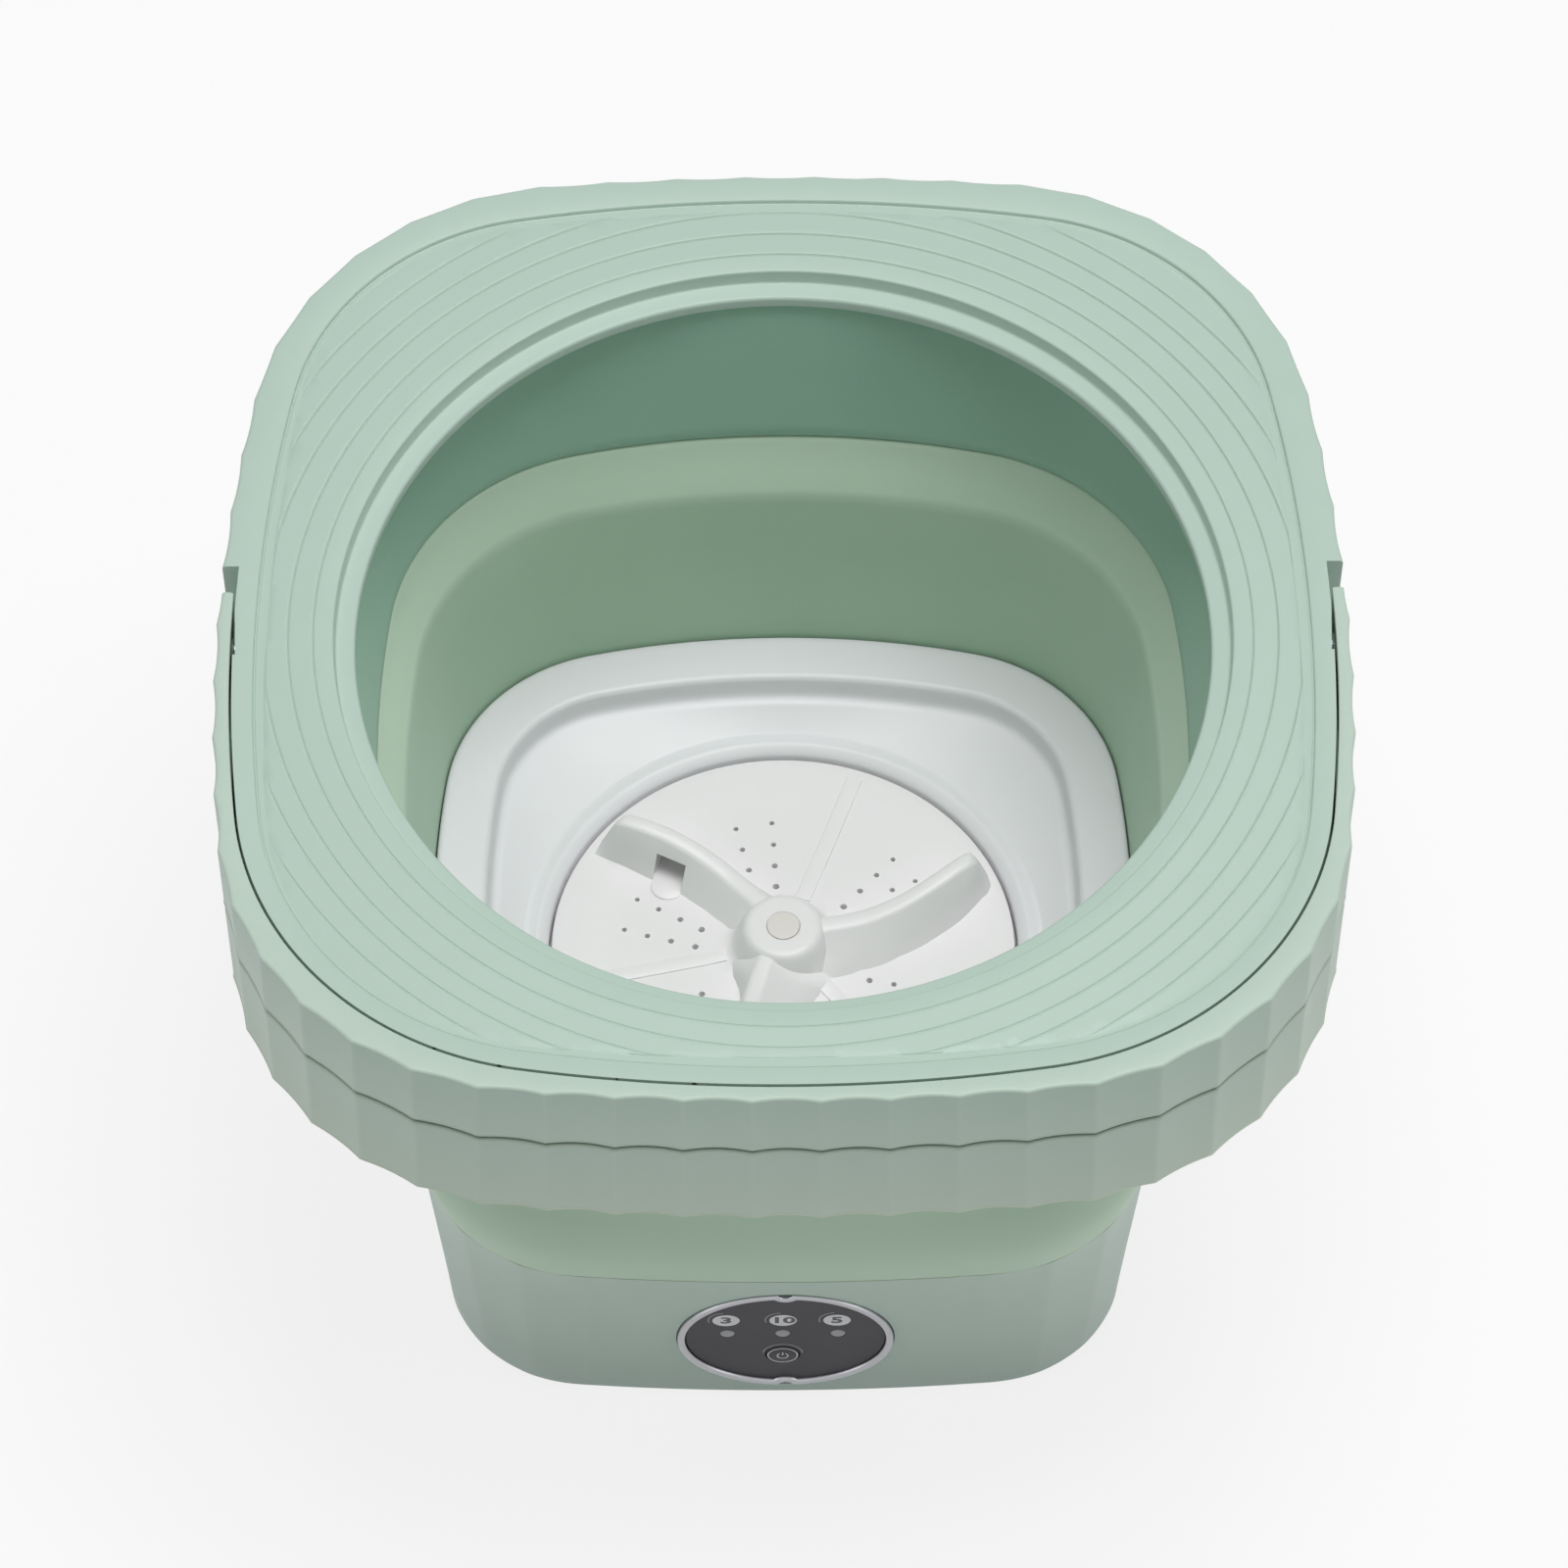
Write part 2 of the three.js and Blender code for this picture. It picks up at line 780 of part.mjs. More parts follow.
function clampRing() {
  const holes = corners(clampReach).map(([x, y]) => {
    return rod(screwShank + clearance, clampBottom - overrun, clampTop + overrun, 8).translate(x, y, 0);
  });
  const inner = ribGrow;
  const outer = tubFlangeGrow - clearance;
  const body = hollowLoft([
    ring(tubPoints, inner, clampBottom),
    ring(tubPoints, outer, clampBottom),
    ring(tubPoints, outer, clampTop),
    ring(tubPoints, inner, clampTop),
  ]);
  return cut(body, ...holes);
}

add("tub_clamp_ring", clampRing(), white);

corners(clampReach).forEach(([x, y], k) => {
  const head = clampBottom - clearance - screwHeadHeight;
  const piece = screw(head, plateUnder - 2 * clearance).translate(x, y, 0);
  add(`clamp_screw_${k + 1}`, piece, steel);
});

// Basin

const basinSteps = 36;
const tubGap = 0.4;
const basinFoot = tubFoot + footFlange + clearance;
const stepSlope = 2.4;
const boreRadius = 9.4;
const postWall = 9.6;
const bossWall = 3.6;
const bossDrop = 9.6;
const bossBottom = wellFloor - bossDrop;
const postRadius = 4;
const postReach = diagonalReach(tubOutline, -footInset - clearance - postRadius);
const drainInset = 15.2;
const drainX = postReach - drainInset;
const drainY = -drainX;
const drainHole = 4.5;
const pipeOuter = 6;
const spigotWall = 2.4;
const spigotDrop = 9;

function basinShell() {
  const steps = basinSteps;
  const border = -tubGap - edgeRound - borderWidth;
  const under = wellFloor - basinWall;
  return hollowLoft([
    ring(tubPoints, -tubGap, basinFoot),
    ring(tubPoints, -tubGap, basinTop - 2 * edgeRound),
    ring(tubPoints, -tubGap - 2 * edgeRound, basinTop),
    ring(tubPoints, border, basinTop),
    ring(tubPoints, border - edgeRound, basinTop - edgeRound),
    ring(tubPoints, border - edgeRound - stepSlope, floorTop),
    circleRing(wellRadius + lipWidth, floorTop, steps),
    circleRing(wellRadius + lipWidth - wellLip, floorTop + wellLip, steps),
    circleRing(wellRadius, floorTop + wellLip, steps),
    circleRing(wellRadius, wellFloor, steps),
    circleRing(boreRadius, wellFloor, steps),
    circleRing(boreRadius, bossBottom, steps),
    circleRing(boreRadius + bossWall, bossBottom, steps),
    circleRing(boreRadius + bossWall, under, steps),
    circleRing(wellRadius + basinWall, under, steps),
    circleRing(wellRadius + basinWall, floorTop - basinWall, steps),
    ring(tubPoints, border - 2 * basinWall - stepSlope, floorTop - basinWall),
    ring(tubPoints, border - edgeRound - basinWall, basinTop - basinWall),
    ring(tubPoints, -tubGap - basinWall, basinTop - basinWall),
    ring(tubPoints, -tubGap - basinWall, basinFoot),
  ]);
}

const postFoot = baseTop + clearance;

// The socket under the floor that takes the drain pipe
function drainSpigot(radius, low, high) {
  return rod(radius, low, high, 20).translate(drainX, drainY, 0);
}

function basin() {
  const posts = corners(postReach).map(([x, y]) => {
    return rod(postRadius, postFoot, basinTop - basinWall / 2, 12).translate(x, y, 0);
  });
  const holes = corners(postReach).map(([x, y]) => {
    return rod(screwShank + clearance, postFoot - overrun, basinTop - postWall, 8).translate(x, y, 0);
  });
  const under = floorTop - basinWall;
  const spigot = drainSpigot(pipeOuter + clearance + spigotWall, under - spigotDrop, floorTop - basinWall / 2);
  const socket = drainSpigot(pipeOuter + clearance, under - spigotDrop - overrun, under);
  const hole = drainSpigot(drainHole, under - overrun, floorTop + overrun);
  return cut(join(basinShell(), spigot, ...posts), socket, hole, ...holes);
}

add("basin", basin(), white);

// Pulsator

const discRadius = wellRadius - pulsatorClearance;
const discUnder = wellFloor + pulsatorClearance;
const discDrop = 1.8;
const discEdge = floorTop - discDrop;
const discWall = 2.4;
const discCrown = 3.4;
const hubTop = discEdge + hubRise;
const capRadius = 4.5;
const capDepth = 2.4;
const shaftDrop = 6;
const shaftTop = hubTop - shaftDrop;
const discSteps = 32;
const hubBore = shaftRadius + clearance;

function pulsatorDisc() {
  const seat = hubTop - capDepth;
  return turned(
    [
      [hubBore, discUnder],
      [hubBaseRadius - discWall, discUnder],
      [hubBaseRadius, discEdge + discCrown - discWall],
      [discRadius - 2 * discWall, discEdge - discWall],
      [discRadius - discWall, discUnder],
      [discRadius, discUnder],
      [discRadius, discEdge - edgeRound],
      [discRadius - edgeRound, discEdge],
      [hubBaseRadius + edgeRound, discEdge + discCrown],
      [hubTopRadius + edgeRound, hubTop - 2 * edgeRound],
      [hubTopRadius - edgeRound, hubTop],
      [capRadius + clearance, hubTop],
      [capRadius + clearance, seat],
      [screwShank + clearance, seat],
      [screwShank + clearance, shaftTop + clearance],
      [hubBore, shaftTop + clearance],
    ],
    discSteps,
  );
}

const vaneStart = 8;
const vaneBorder = 7.2;
const vaneEnd = discRadius - vaneBorder;
const vaneFirstTurn = 4 * degree;
const vaneTwist = 0.35 * degree;
const vaneCrest = discEdge + vaneHeight;
const vaneBaseHalf = 4.4;
const vaneTopHalf = 2.6;
const vaneStations = 7;
// Height of the crest along the vane, as a share from the hub's height to the full crest
const crestShares = [0, 0.2, 0.6, 0.9, 1, 0.93, 0.55];
const vaneNarrowing = 0.25;
const vaneEndSlope = 2.4;

// One curved vane: a loft of cross sections along a curve that leans round the hub
function vane(turn) {
  const rings = [];
  for (let k = 0; k < vaneStations; k++) {
    const share = k / (vaneStations - 1);
    const radius = vaneStart + share * (vaneEnd - vaneStart);
    const low = discUnder + 2 * discWall;
    const high = hubTop - edgeRound + crestShares[k] * (vaneCrest - hubTop);
    rings.push(vaneSection(radius, turn, low, high, share));
  }
  return blockLoft(rings);
}

function vaneSection(radius, turn, low, high, share) {
  const lean = vaneTwist * (radius - vaneStart);
  const angle = turn + vaneFirstTurn + lean;
  const along = angle + Math.atan(vaneTwist * radius);
  const side = [-Math.sin(along), Math.cos(along)];
  const narrow = 1 - vaneNarrowing * share;
  const slope = share === 1 ? vaneEndSlope : 0;
  const half = [vaneBaseHalf, vaneTopHalf, vaneTopHalf - edgeRound].map((value) => value * narrow);
  const shape = [
    [-half[0], low, 1],
    [-half[1], high - 2 * edgeRound, 0],
    [-half[2], high, 0],
    [half[2], high, 0],
    [half[1], high - 2 * edgeRound, 0],
    [half[0], low, 1],
  ];
  return shape.map(([offset, z, foot]) => {
    const reach = radius + foot * slope;
    return [reach * Math.cos(angle) + offset * side[0], reach * Math.sin(angle) + offset * side[1], z];
  });
}

const windowInset = 14;
const windowRadius = vaneEnd - windowInset;
const windowHalf = 4;
const windowHeight = 9;

// The window through the foot of one vane
function vaneWindow(turn) {
  const angle = turn + vaneFirstTurn + vaneTwist * (windowRadius - vaneStart);
  const along = angle + Math.atan(vaneTwist * windowRadius);
  const low = discEdge + discCrown / 2;
  const hole = box([-windowHalf, -2 * overrun, low], [windowHalf, 2 * overrun, low + windowHeight]);
  const centre = [windowRadius * Math.cos(angle), windowRadius * Math.sin(angle)];
  return hole.rotateZ(along).translate(centre[0], centre[1], 0);
}

function pulsator() {
  const turns = [...Array(vaneCount).keys()].map((k) => (k * 2 * Math.PI) / vaneCount);
  const body = join(pulsatorDisc(), ...turns.map(vane));
  return cut(body, vaneWindow(turns[1]));
}

const capHead = 1.1;

function hubCap() {
  const low = hubTop - capHead;
  const crown = hubTop + edgeRound / 2;
  const rim = [[0, low], [capRadius, low], [capRadius, hubTop], [capRadius - edgeRound, crown]];
  return turned([...rim, [0, crown]], 24);
}

function pulsatorScrew() {
  const seat = hubTop - capDepth + clearance;
  const head = hubTop - capHead - clearance;
  const tip = shaftTop - 2 * shaftRadius;
  const shank = [[0, tip], [screwShank, tip], [screwShank, seat]];
  return turned([...shank, [screwHead, seat], [screwHead, head], [0, head]], 12);
}

// Drive

const gearboxWall = 2.4;
const gearboxRoom = 21.6;
const gearboxTop = bossBottom - clearance;
const gearboxRim = gearboxTop - gearboxWall - clearance;
const gearboxFloor = gearboxRim - gearboxRoom - gearboxWall;
const gearboxSeat = gearboxFloor + gearboxWall;
const bushHeight = 4;
const lowerBushRadius = 7.2;
const wheelHubDrop = 1.4;
const wheelHubLow = gearboxSeat + bushHeight + 2 * clearance;
const wheelLow = wheelHubLow + wheelHubDrop;
const wheelHigh = wheelLow + gearWidth;
const toothTopShare = 0.8;
const toothFootShare = 1.1;
const toothTop = toothTopShare * gearModule;
const toothFoot = toothFootShare * gearModule;
// Corners of a tooth: shares of the pitch across, and 1 for its top or -1 for its foot
const toothShares = [[-0.3, -1], [-0.11, 1], [0.11, 1], [0.3, -1]];
const wheelRadius = (gearModule * wheelTeeth) / 2;
const pinionRadius = (gearModule * pinionTeeth) / 2;
const gearRoom = 2;

function gearOutline(teeth, turn) {
  const pitchRadius = (gearModule * teeth) / 2;
  const pitch = (2 * Math.PI) / teeth;
  const points = [];
  for (let k = 0; k < teeth; k++) {
    for (const [across, end] of toothShares) {
      const radius = pitchRadius + (end > 0 ? toothTop : -toothFoot);
      const angle = turn + (k + across) * pitch;
      points.push([radius * Math.cos(angle), radius * Math.sin(angle)]);
    }
  }
  return points;
}

function outputShaft() {
  const low = gearboxSeat + clearance;
  const tip = shaftTop - 2 * shaftRadius - clearance;
  const bore = screwShank + clearance;
  const outside = [[0, low], [shaftRadius, low], [shaftRadius, shaftTop], [bore, shaftTop]];
  return turned([...outside, [bore, tip], [0, tip]], 20);
}

function driveWheel() {
  const web = extruded(gearOutline(wheelTeeth, 0), wheelLow, wheelHigh);
  const hub = rod(2 * shaftRadius, wheelHubLow, gearboxRim - clearance, 20);
  const bore = rod(shaftRadius + clearance, wheelHubLow - overrun, gearboxRim + overrun, 20);
  return cut(join(web, hub), bore);
}

// The pinion is turned by half a tooth so that it meshes with the wheel
function motorPinion() {
  const teeth = extruded(gearOutline(pinionTeeth, Math.PI / pinionTeeth), wheelLow, wheelHigh);
  return cut(teeth, rod(motorShaftRadius + clearance, wheelLow - overrun, wheelHigh + overrun, 10));
}

// Outline round the wheel and the pinion: two arcs joined by straight walls
function keyhole(grow) {
  const big = wheelRadius + toothTop + gearRoom + grow;
  const small = pinionRadius + toothTop + gearRoom + grow;
  const lean = Math.acos((big - small) / gearCentre);
  const arcs = [
    { centre: 0, radius: big, from: lean - Math.PI, to: Math.PI - lean, steps: 20 },
    { centre: -gearCentre, radius: small, from: Math.PI - lean, to: Math.PI + lean, steps: 8 },
  ];
  return arcs.flatMap(({ centre, radius, from, to, steps }) => {
    return [...Array(steps + 1).keys()].map((k) => {
      const turn = from + ((to - from) * k) / steps;
      return [centre + radius * Math.cos(turn), radius * Math.sin(turn)];
    });
  });
}

const motorBossRadius = 5;
const bushRingFoot = 1;

function gearboxHousing() {
  const block = extruded(keyhole(gearboxWall), gearboxFloor, gearboxRim);
  const room = extruded(keyhole(0), gearboxSeat, gearboxRim + overrun);
  const inner = lowerBushRadius + clearance;
  const ringLow = gearboxFloor + bushRingFoot;
  const bushRing = sleeve(inner, inner + gearboxWall, ringLow, gearboxSeat + bushHeight);
  const motorHole = rod(motorBossRadius + clearance, gearboxFloor - overrun, gearboxSeat + overrun);
  return cut(join(cut(block, room), bushRing), motorHole.translate(-gearCentre, 0, 0));
}

function gearboxCover() {
  const plate = extruded(keyhole(gearboxWall), gearboxTop - gearboxWall, gearboxTop);
  return cut(plate, rod(shaftRadius + 2 * clearance, gearboxRim - overrun, gearboxTop + overrun));
}

const bottomWall = 3.4;
const bottomCoverTop = footHeight + bottomWall;
const motorCapHeight = 2.2;
const motorTop = gearboxFloor - clearance;
const motorCapLow = bottomCoverTop + clearance;
const motorLow = motorCapLow + motorCapHeight + clearance;
const motorBore = 8;

function motorCan() {
  const bore = motorShaftRadius + clearance;
  const bossTop = motorTop + gearboxWall;
  const floor = motorTop - motorBore;
  const low = [[0, motorLow], [motorRadius - edgeRound, motorLow], [motorRadius, motorLow + edgeRound]];
  const high = [[motorRadius, motorTop], [motorBossRadius, motorTop], [motorBossRadius, bossTop]];
  return turned([...low, ...high, [bore, bossTop], [bore, floor], [0, floor]], 20);
}

function motorCap() {
  const high = motorLow - clearance;
  const step = motorCapLow + edgeRound;
  const middle = motorRadius / 2;
  const low = [[0, motorCapLow], [middle, motorCapLow], [middle, step]];
  return turned([...low, [motorRadius - edgeRound, step], [motorRadius - edgeRound, high], [0, high]], 20);
}

function motorShaft() {
  return rod(motorShaftRadius, motorTop - motorBore + clearance, wheelHigh, 10);
}

const bushTop = gearboxTop + clearance + bushHeight;
const bushInner = shaftRadius + runningGap;

const spinning = new THREE.Group();
model.add(spinning);
add("pulsator", pulsator(), white, spinning);
add("hub_cap", hubCap(), natural, spinning);
add("pulsator_screw", pulsatorScrew(), steel, spinning);
add("output_shaft", outputShaft(), steel, spinning);
add("drive_wheel", driveWheel(), natural, spinning);

const motorUnit = new THREE.Group();
motorUnit.position.x = -gearCentre;
model.add(motorUnit);
add("motor_pinion", motorPinion(), brass, motorUnit);
add("motor_shaft", motorShaft(), steel, motorUnit);
add("motor_can", motorCan(), steel, motorUnit);
add("motor_cap", motorCap(), black, motorUnit);

const sealLow = bushTop + clearance;
add("shaft_seal", sleeve(bushInner, boreRadius - clearance, sealLow, wellFloor - clearance), black);
add("upper_bush", sleeve(bushInner, boreRadius - clearance, gearboxTop + clearance, bushTop), brass);
const lowerBushLow = gearboxSeat + clearance;
add("lower_bush", sleeve(bushInner, lowerBushRadius, lowerBushLow, lowerBushLow + bushHeight), brass);
add("gearbox_cover", gearboxCover(), natural);
add("gearbox_housing", gearboxHousing(), natural);

// Base

const baseFlutePitch = 17;
const baseFluteDepth = 0.6;
const baseFlutes = 43;
const smoothFront = 46;
const basePoints = walk(baseOutline, 2 * baseFlutes);
const baseInside = baseWall + baseFluteDepth;
const baseLip = 2.5;
const lipReach = 20;
const lugRadius = 9;

// Shallow flutes, except on the smooth middle of the front round the panel
function baseDip(i, p) {
  const fade = p.y < 0 ? (Math.abs(p.x) - smoothFront) / baseFlutePitch : 1;
  return i % 2 === 0 ? baseFluteDepth * Math.min(Math.max(fade, 0), 1) : 0;
}

// How far the sloping wall stands out at a height, compared with its foot
function leanAt(z) {
  return (z - footHeight) * Math.tan(baseTaper);
}

function baseRing(inset, z, dip) {
  return ring(basePoints, leanAt(z) - inset, z, dip);
}

// The inner edge of the lip that carries the tub and the basin
function lipRing(z) {
  return ring(seamPoints, leanAt(z) - lipReach, z);
}

function baseShell() {
  return hollowLoft([
    baseRing(2 * edgeRound, footHeight, baseDip),
    baseRing(0, footHeight + 2 * edgeRound, baseDip),
    baseRing(0, baseTop - edgeRound, baseDip),
    baseRing(edgeRound, baseTop),
    lipRing(baseTop),
    lipRing(baseTop - baseLip),
    baseRing(baseInside, baseTop - baseLip),
    baseRing(baseInside, footHeight),
  ]);
}

// A place on the sloping front wall at a height, with its own Z pointing out of the wall
function frontPlace(z) {
  const lean = new THREE.Matrix4().makeRotationX(Math.PI / 2 + baseTaper);
  return new THREE.Matrix4().makeTranslation(0, -baseHalfDepth - leanAt(z), z).multiply(lean);
}

// The same on the rear wall, at a distance along its curve
function rearPlace(x, z) {
  const centre = baseEndArc - baseHalfDepth;
  const aside = new THREE.Matrix4().makeRotationZ(-Math.asin(x / baseEndArc));
  return new THREE.Matrix4()
    .makeRotationZ(Math.PI)
    .multiply(new THREE.Matrix4().makeTranslation(0, centre, 0))
    .multiply(aside)
    .multiply(new THREE.Matrix4().makeTranslation(0, -centre, 0))
    .multiply(frontPlace(z));
}

function ellipsePoints(halfWidth, halfHeight, steps) {
  return [...Array(steps).keys()].map((k) => {
    const turn = (2 * Math.PI * k) / steps;
    return [halfWidth * Math.cos(turn), halfHeight * Math.sin(turn)];
  });
}

const panelHeight = 34.4;
const bezelHalfWidth = 31.3;
const bezelHalfHeight = 28.2;
const bezelWidth = 2.3;
const bezelProud = 0.8;
const recessFloor = 2.5;
const ledgeWall = 2;
const ledgeWidth = 5;
const ledgeBorder = 0.5;
const panelSteps = 32;

// The panel's oval, shrunk by a distance
function oval(inset, low, high) {
  return extruded(ellipsePoints(bezelHalfWidth - inset, bezelHalfHeight - inset, panelSteps), low, high);
}

const boardDepth = 8;
const boardWall = 1.6;
const boardWidth = 56;
const boardHeight = 32;
const boardPostX = 24;
const boardPostY = 12;
const boardPostRadius = 2;

function boardPosts() {
  const root = -recessFloor - ledgeWall / 2;
  return corners(1).map(([x, y]) => {
    const post = rod(boardPostRadius, clearance - boardDepth, root, 6);
    return post.translate(x * boardPostX, y * boardPostY, 0);
  });
}

const inletX = -28;
const inletZ = 18;
const inletRadius = 5.2;
const outletInset = 28.9;
const outletZ = 18;
const outletBore = 6.3;
const outletWall = 2.2;
const bossHeight = 15;
const screwHoleDepth = 12;
const bossInset = 2.6;
const bossReach = diagonalReach(baseOutline, -baseInside) - bossInset;
const outletX = bossReach - outletInset;

function upright(radius, low, high, steps, [x, y]) {
  return rod(radius, low, high, steps).translate(x, y, 0);
}

function baseHousing() {
  const front = frontPlace(panelHeight);
  const ledge = oval(-ledgeBorder, -recessFloor - ledgeWall, -edgeRound).applyMatrix4(front);
  const recess = oval(-clearance, -recessFloor, overrun).applyMatrix4(front);
  const opening = oval(ledgeWidth, -4 * overrun, overrun).applyMatrix4(front);
  const posts = boardPosts().map((post) => post.applyMatrix4(front));
  const hole = screwShank + clearance;
  const bossLow = bottomCoverTop + clearance;
  const bosses = corners(bossReach).map((at) => upright(bossRadius, bossLow, bossLow + bossHeight, 10, at));
  const bossHoles = corners(bossReach).map((at) => upright(hole, 0, bottomCoverTop + screwHoleDepth, 8, at));
  const lugs = corners(postReach).map((at) => upright(lugRadius, baseTop - baseLip, baseTop, 12, at));
  const lugHoles = corners(postReach).map((at) => upright(hole, baseTop - overrun, baseTop + overrun, 8, at));
  const inlet = rod(inletRadius + clearance, -2 * overrun, overrun, 20);
  const outlet = rod(outletBore + outletWall + clearance, -2 * overrun, overrun, 24);
  inlet.applyMatrix4(rearPlace(inletX, inletZ));
  outlet.applyMatrix4(rearPlace(outletX, outletZ));
  const body = join(baseShell(), ledge, ...posts, ...bosses, ...lugs);
  return cut(body, recess, opening, inlet, outlet, ...bossHoles, ...lugHoles);
}

add("base_housing", baseHousing(), green);

corners(postReach).forEach((at, k) => {
  const head = baseTop - baseLip - clearance - screwHeadHeight;
  add(`basin_screw_${k + 1}`, screw(head, basinTop - postWall - screwHeadHeight).translate(...at, 0), steel);
});

const footRadius = 7;
const footSteps = 14;
const footSink = 1.5;
const footBorder = 19.25;
const footReach = diagonalReach(baseOutline, 0) - footBorder;
const ventCount = 5;
const ventWidth = 2.4;
const ventPitch = 8;
const ventLength = 30;

function vents() {
  return [...Array(ventCount).keys()].map((k) => {
    const x = (k - (ventCount - 1) / 2) * ventPitch;
    const low = [x - ventWidth / 2, -ventLength / 2, 0];
    return box(low, [x + ventWidth / 2, ventLength / 2, bottomCoverTop + overrun]);
  });
}

function bottomCover() {
  const outline = baseRing(baseInside + clearance, footHeight);
  const plate = extruded(outline, footHeight, bottomCoverTop);
  const footTop = footHeight + footSink + clearance;
  const seatTopZ = footHeight + screwHeadHeight + 2 * clearance;
  const recesses = corners(footReach).map((at) => upright(footRadius + clearance, 0, footTop, footSteps, at));
  const seats = corners(bossReach).map((at) => upright(screwHead + clearance, 0, seatTopZ, 8, at));
  const ways = corners(bossReach).map((at) => upright(screwShank + clearance, 0, bottomCoverTop + overrun, 8, at));
  return cut(plate, ...recesses, ...seats, ...ways, ...vents());
}

add("bottom_cover", bottomCover(), greenDark);

corners(footReach).forEach((at, k) => {
  const high = footHeight + footSink;
  const low = [[0, 0], [footRadius - edgeRound, 0], [footRadius, edgeRound]];
  const foot = turned([...low, [footRadius, high], [0, high]], footSteps);
  add(`foot_${k + 1}`, foot.translate(...at, 0), black);
});

corners(bossReach).forEach((at, k) => {
  const piece = screw(footHeight + clearance, bottomCoverTop + screwHoleDepth - 2 * clearance);
  add(`base_screw_${k + 1}`, piece.translate(...at, 0), steel);
});

// Control panel

const notchRadius = 2.2;
const notchRise = 0.6;

// Rods that cut or leave the half-round notches at the top and bottom of the panel
function tabs(radius, low, high) {
  return [-1, 1].map((side) => {
    return rod(radius, low, high, 20).translate(0, side * (bezelHalfHeight + notchRise), 0);
  });
}

function bezel() {
  const low = clearance - recessFloor;
  const high = bezelProud;
  const tab = tabs(notchRadius + bezelWidth, low - 2 * overrun, high + 2 * overrun);
  const middle = cut(oval(bezelWidth, low - overrun, high + overrun), ...tab);
  return cut(oval(0, low, high), middle, ...tabs(notchRadius, low - overrun, high + overrun));
}

const faceDrop = 0.4;
const faceWall = 1.6;
const faceUnder = -faceDrop - faceWall;
const lightPitch = 16;
const panelShift = -0.8;
const lightY = 2.8;
const lightRadius = 2.2;
const buttonY = -10.1;
const buttonRadius = 4.8;
const buttonTravel = 0.5;
const buttonCrown = 0.4;
const buttonSkirt = 1;
const stemRadius = 1.6;
const switchHalf = 3;
const switchHeight = 1.4;
const boardFace = clearance - boardDepth;

function lightPlaces() {
  return [-1, 0, 1].map((k) => [panelShift + k * lightPitch, lightY]);
}

function panelFace() {
  const low = faceUnder - overrun;
  const tab = tabs(notchRadius + bezelWidth + clearance, low, overrun);
  const plate = cut(oval(bezelWidth + clearance, faceUnder, -faceDrop), ...tab);
  const holes = lightPlaces().map((at) => upright(lightRadius + clearance / 2, low, overrun, 16, at));
  const buttonHole = upright(buttonRadius + clearance, low, overrun, 24, [panelShift, buttonY]);
  return cut(plate, ...holes, buttonHole);
}

function powerButton() {
  const skirtTop = faceUnder - clearance;
  const skirtLow = skirtTop - buttonSkirt;
  const wide = buttonRadius + buttonSkirt;
  const stemEnd = boardFace + switchHeight + clearance + buttonTravel;
  const crown = buttonCrown - faceDrop;
  const stem = [[0, stemEnd], [stemRadius, stemEnd], [stemRadius, skirtLow]];
  const skirt = [[wide, skirtLow], [wide, skirtTop], [buttonRadius, skirtTop]];
  const cap = [[buttonRadius, -faceDrop], [buttonRadius - edgeRound, crown], [0, crown]];
  return turned([...stem, ...skirt, ...cap], 20).translate(panelShift, buttonY, 0);
}

function tactSwitch() {
  const body = box([-switchHalf, -switchHalf, boardFace], [switchHalf, switchHalf, boardFace + switchHeight]);
  return body.translate(panelShift, buttonY, 0);
}

function circuitBoard() {
  const [x, y] = [boardWidth / 2, boardHeight / 2];
  return box([-x, -y, -boardDepth - boardWall], [x, y, -boardDepth]);
}

function placedGroup(place) {
  const group = new THREE.Group();
  group.applyMatrix4(place);
  model.add(group);
  return group;
}

const panel = placedGroup(frontPlace(panelHeight));
add("panel_bezel", bezel(), silver, panel);
add("panel_face", panelFace(), grey, panel);
lightPlaces().forEach((at, k) => {
  add(`indicator_light_${k + 1}`, upright(lightRadius, boardFace, -faceDrop, 16, at), lamp, panel);
});
add("power_button", powerButton(), grey, panel);
add("tact_switch", tactSwitch(), black, panel);
add("circuit_board", circuitBoard(), board, panel);

// Rear wall: power inlet and drain

const inletDepth = 12;
const inletProud = 0.8;
const inletBore = 3.1;
const inletPin = 1;
const inletFloor = 3;
const inletFlange = 2;

function powerInlet() {
  const seat = -baseInside - clearance;
  const flange = inletRadius + inletFlange;
  const floor = inletFloor - inletDepth;
  const outside = [
    [0, -inletDepth],
    [inletRadius, -inletDepth],
    [inletRadius, seat - inletFlange],
    [flange, seat - inletFlange],
    [flange, seat],
    [inletRadius, seat],
    [inletRadius, inletProud],
  ];
  const inside = [[inletBore, inletProud], [inletBore, floor], [inletPin, floor]];
  return turned([...outside, ...inside, [inletPin, -inletProud], [0, -inletProud]], 16);
}

const outletDepth = 16;
const outletFlange = 2;
const outletFlangeRadius = 11.5;
const plugHead = 2.4;
const plugDepth = 8;
const plugTab = 3;
const pipeGrip = 5;
const pipeInner = 4.5;
const pipeSides = 8;
const pipeSteps = 12;
const pipeLead = 18;

function drainOutlet() {
  const outer = outletBore + outletWall;
  const shank = [[outletBore, -outletDepth], [outer, -outletDepth], [outer, clearance]];
  const flange = [[outletFlangeRadius, clearance], [outletFlangeRadius, outletFlange]];
  return turned([...shank, ...flange, [outletBore, outletFlange]], 20);
}

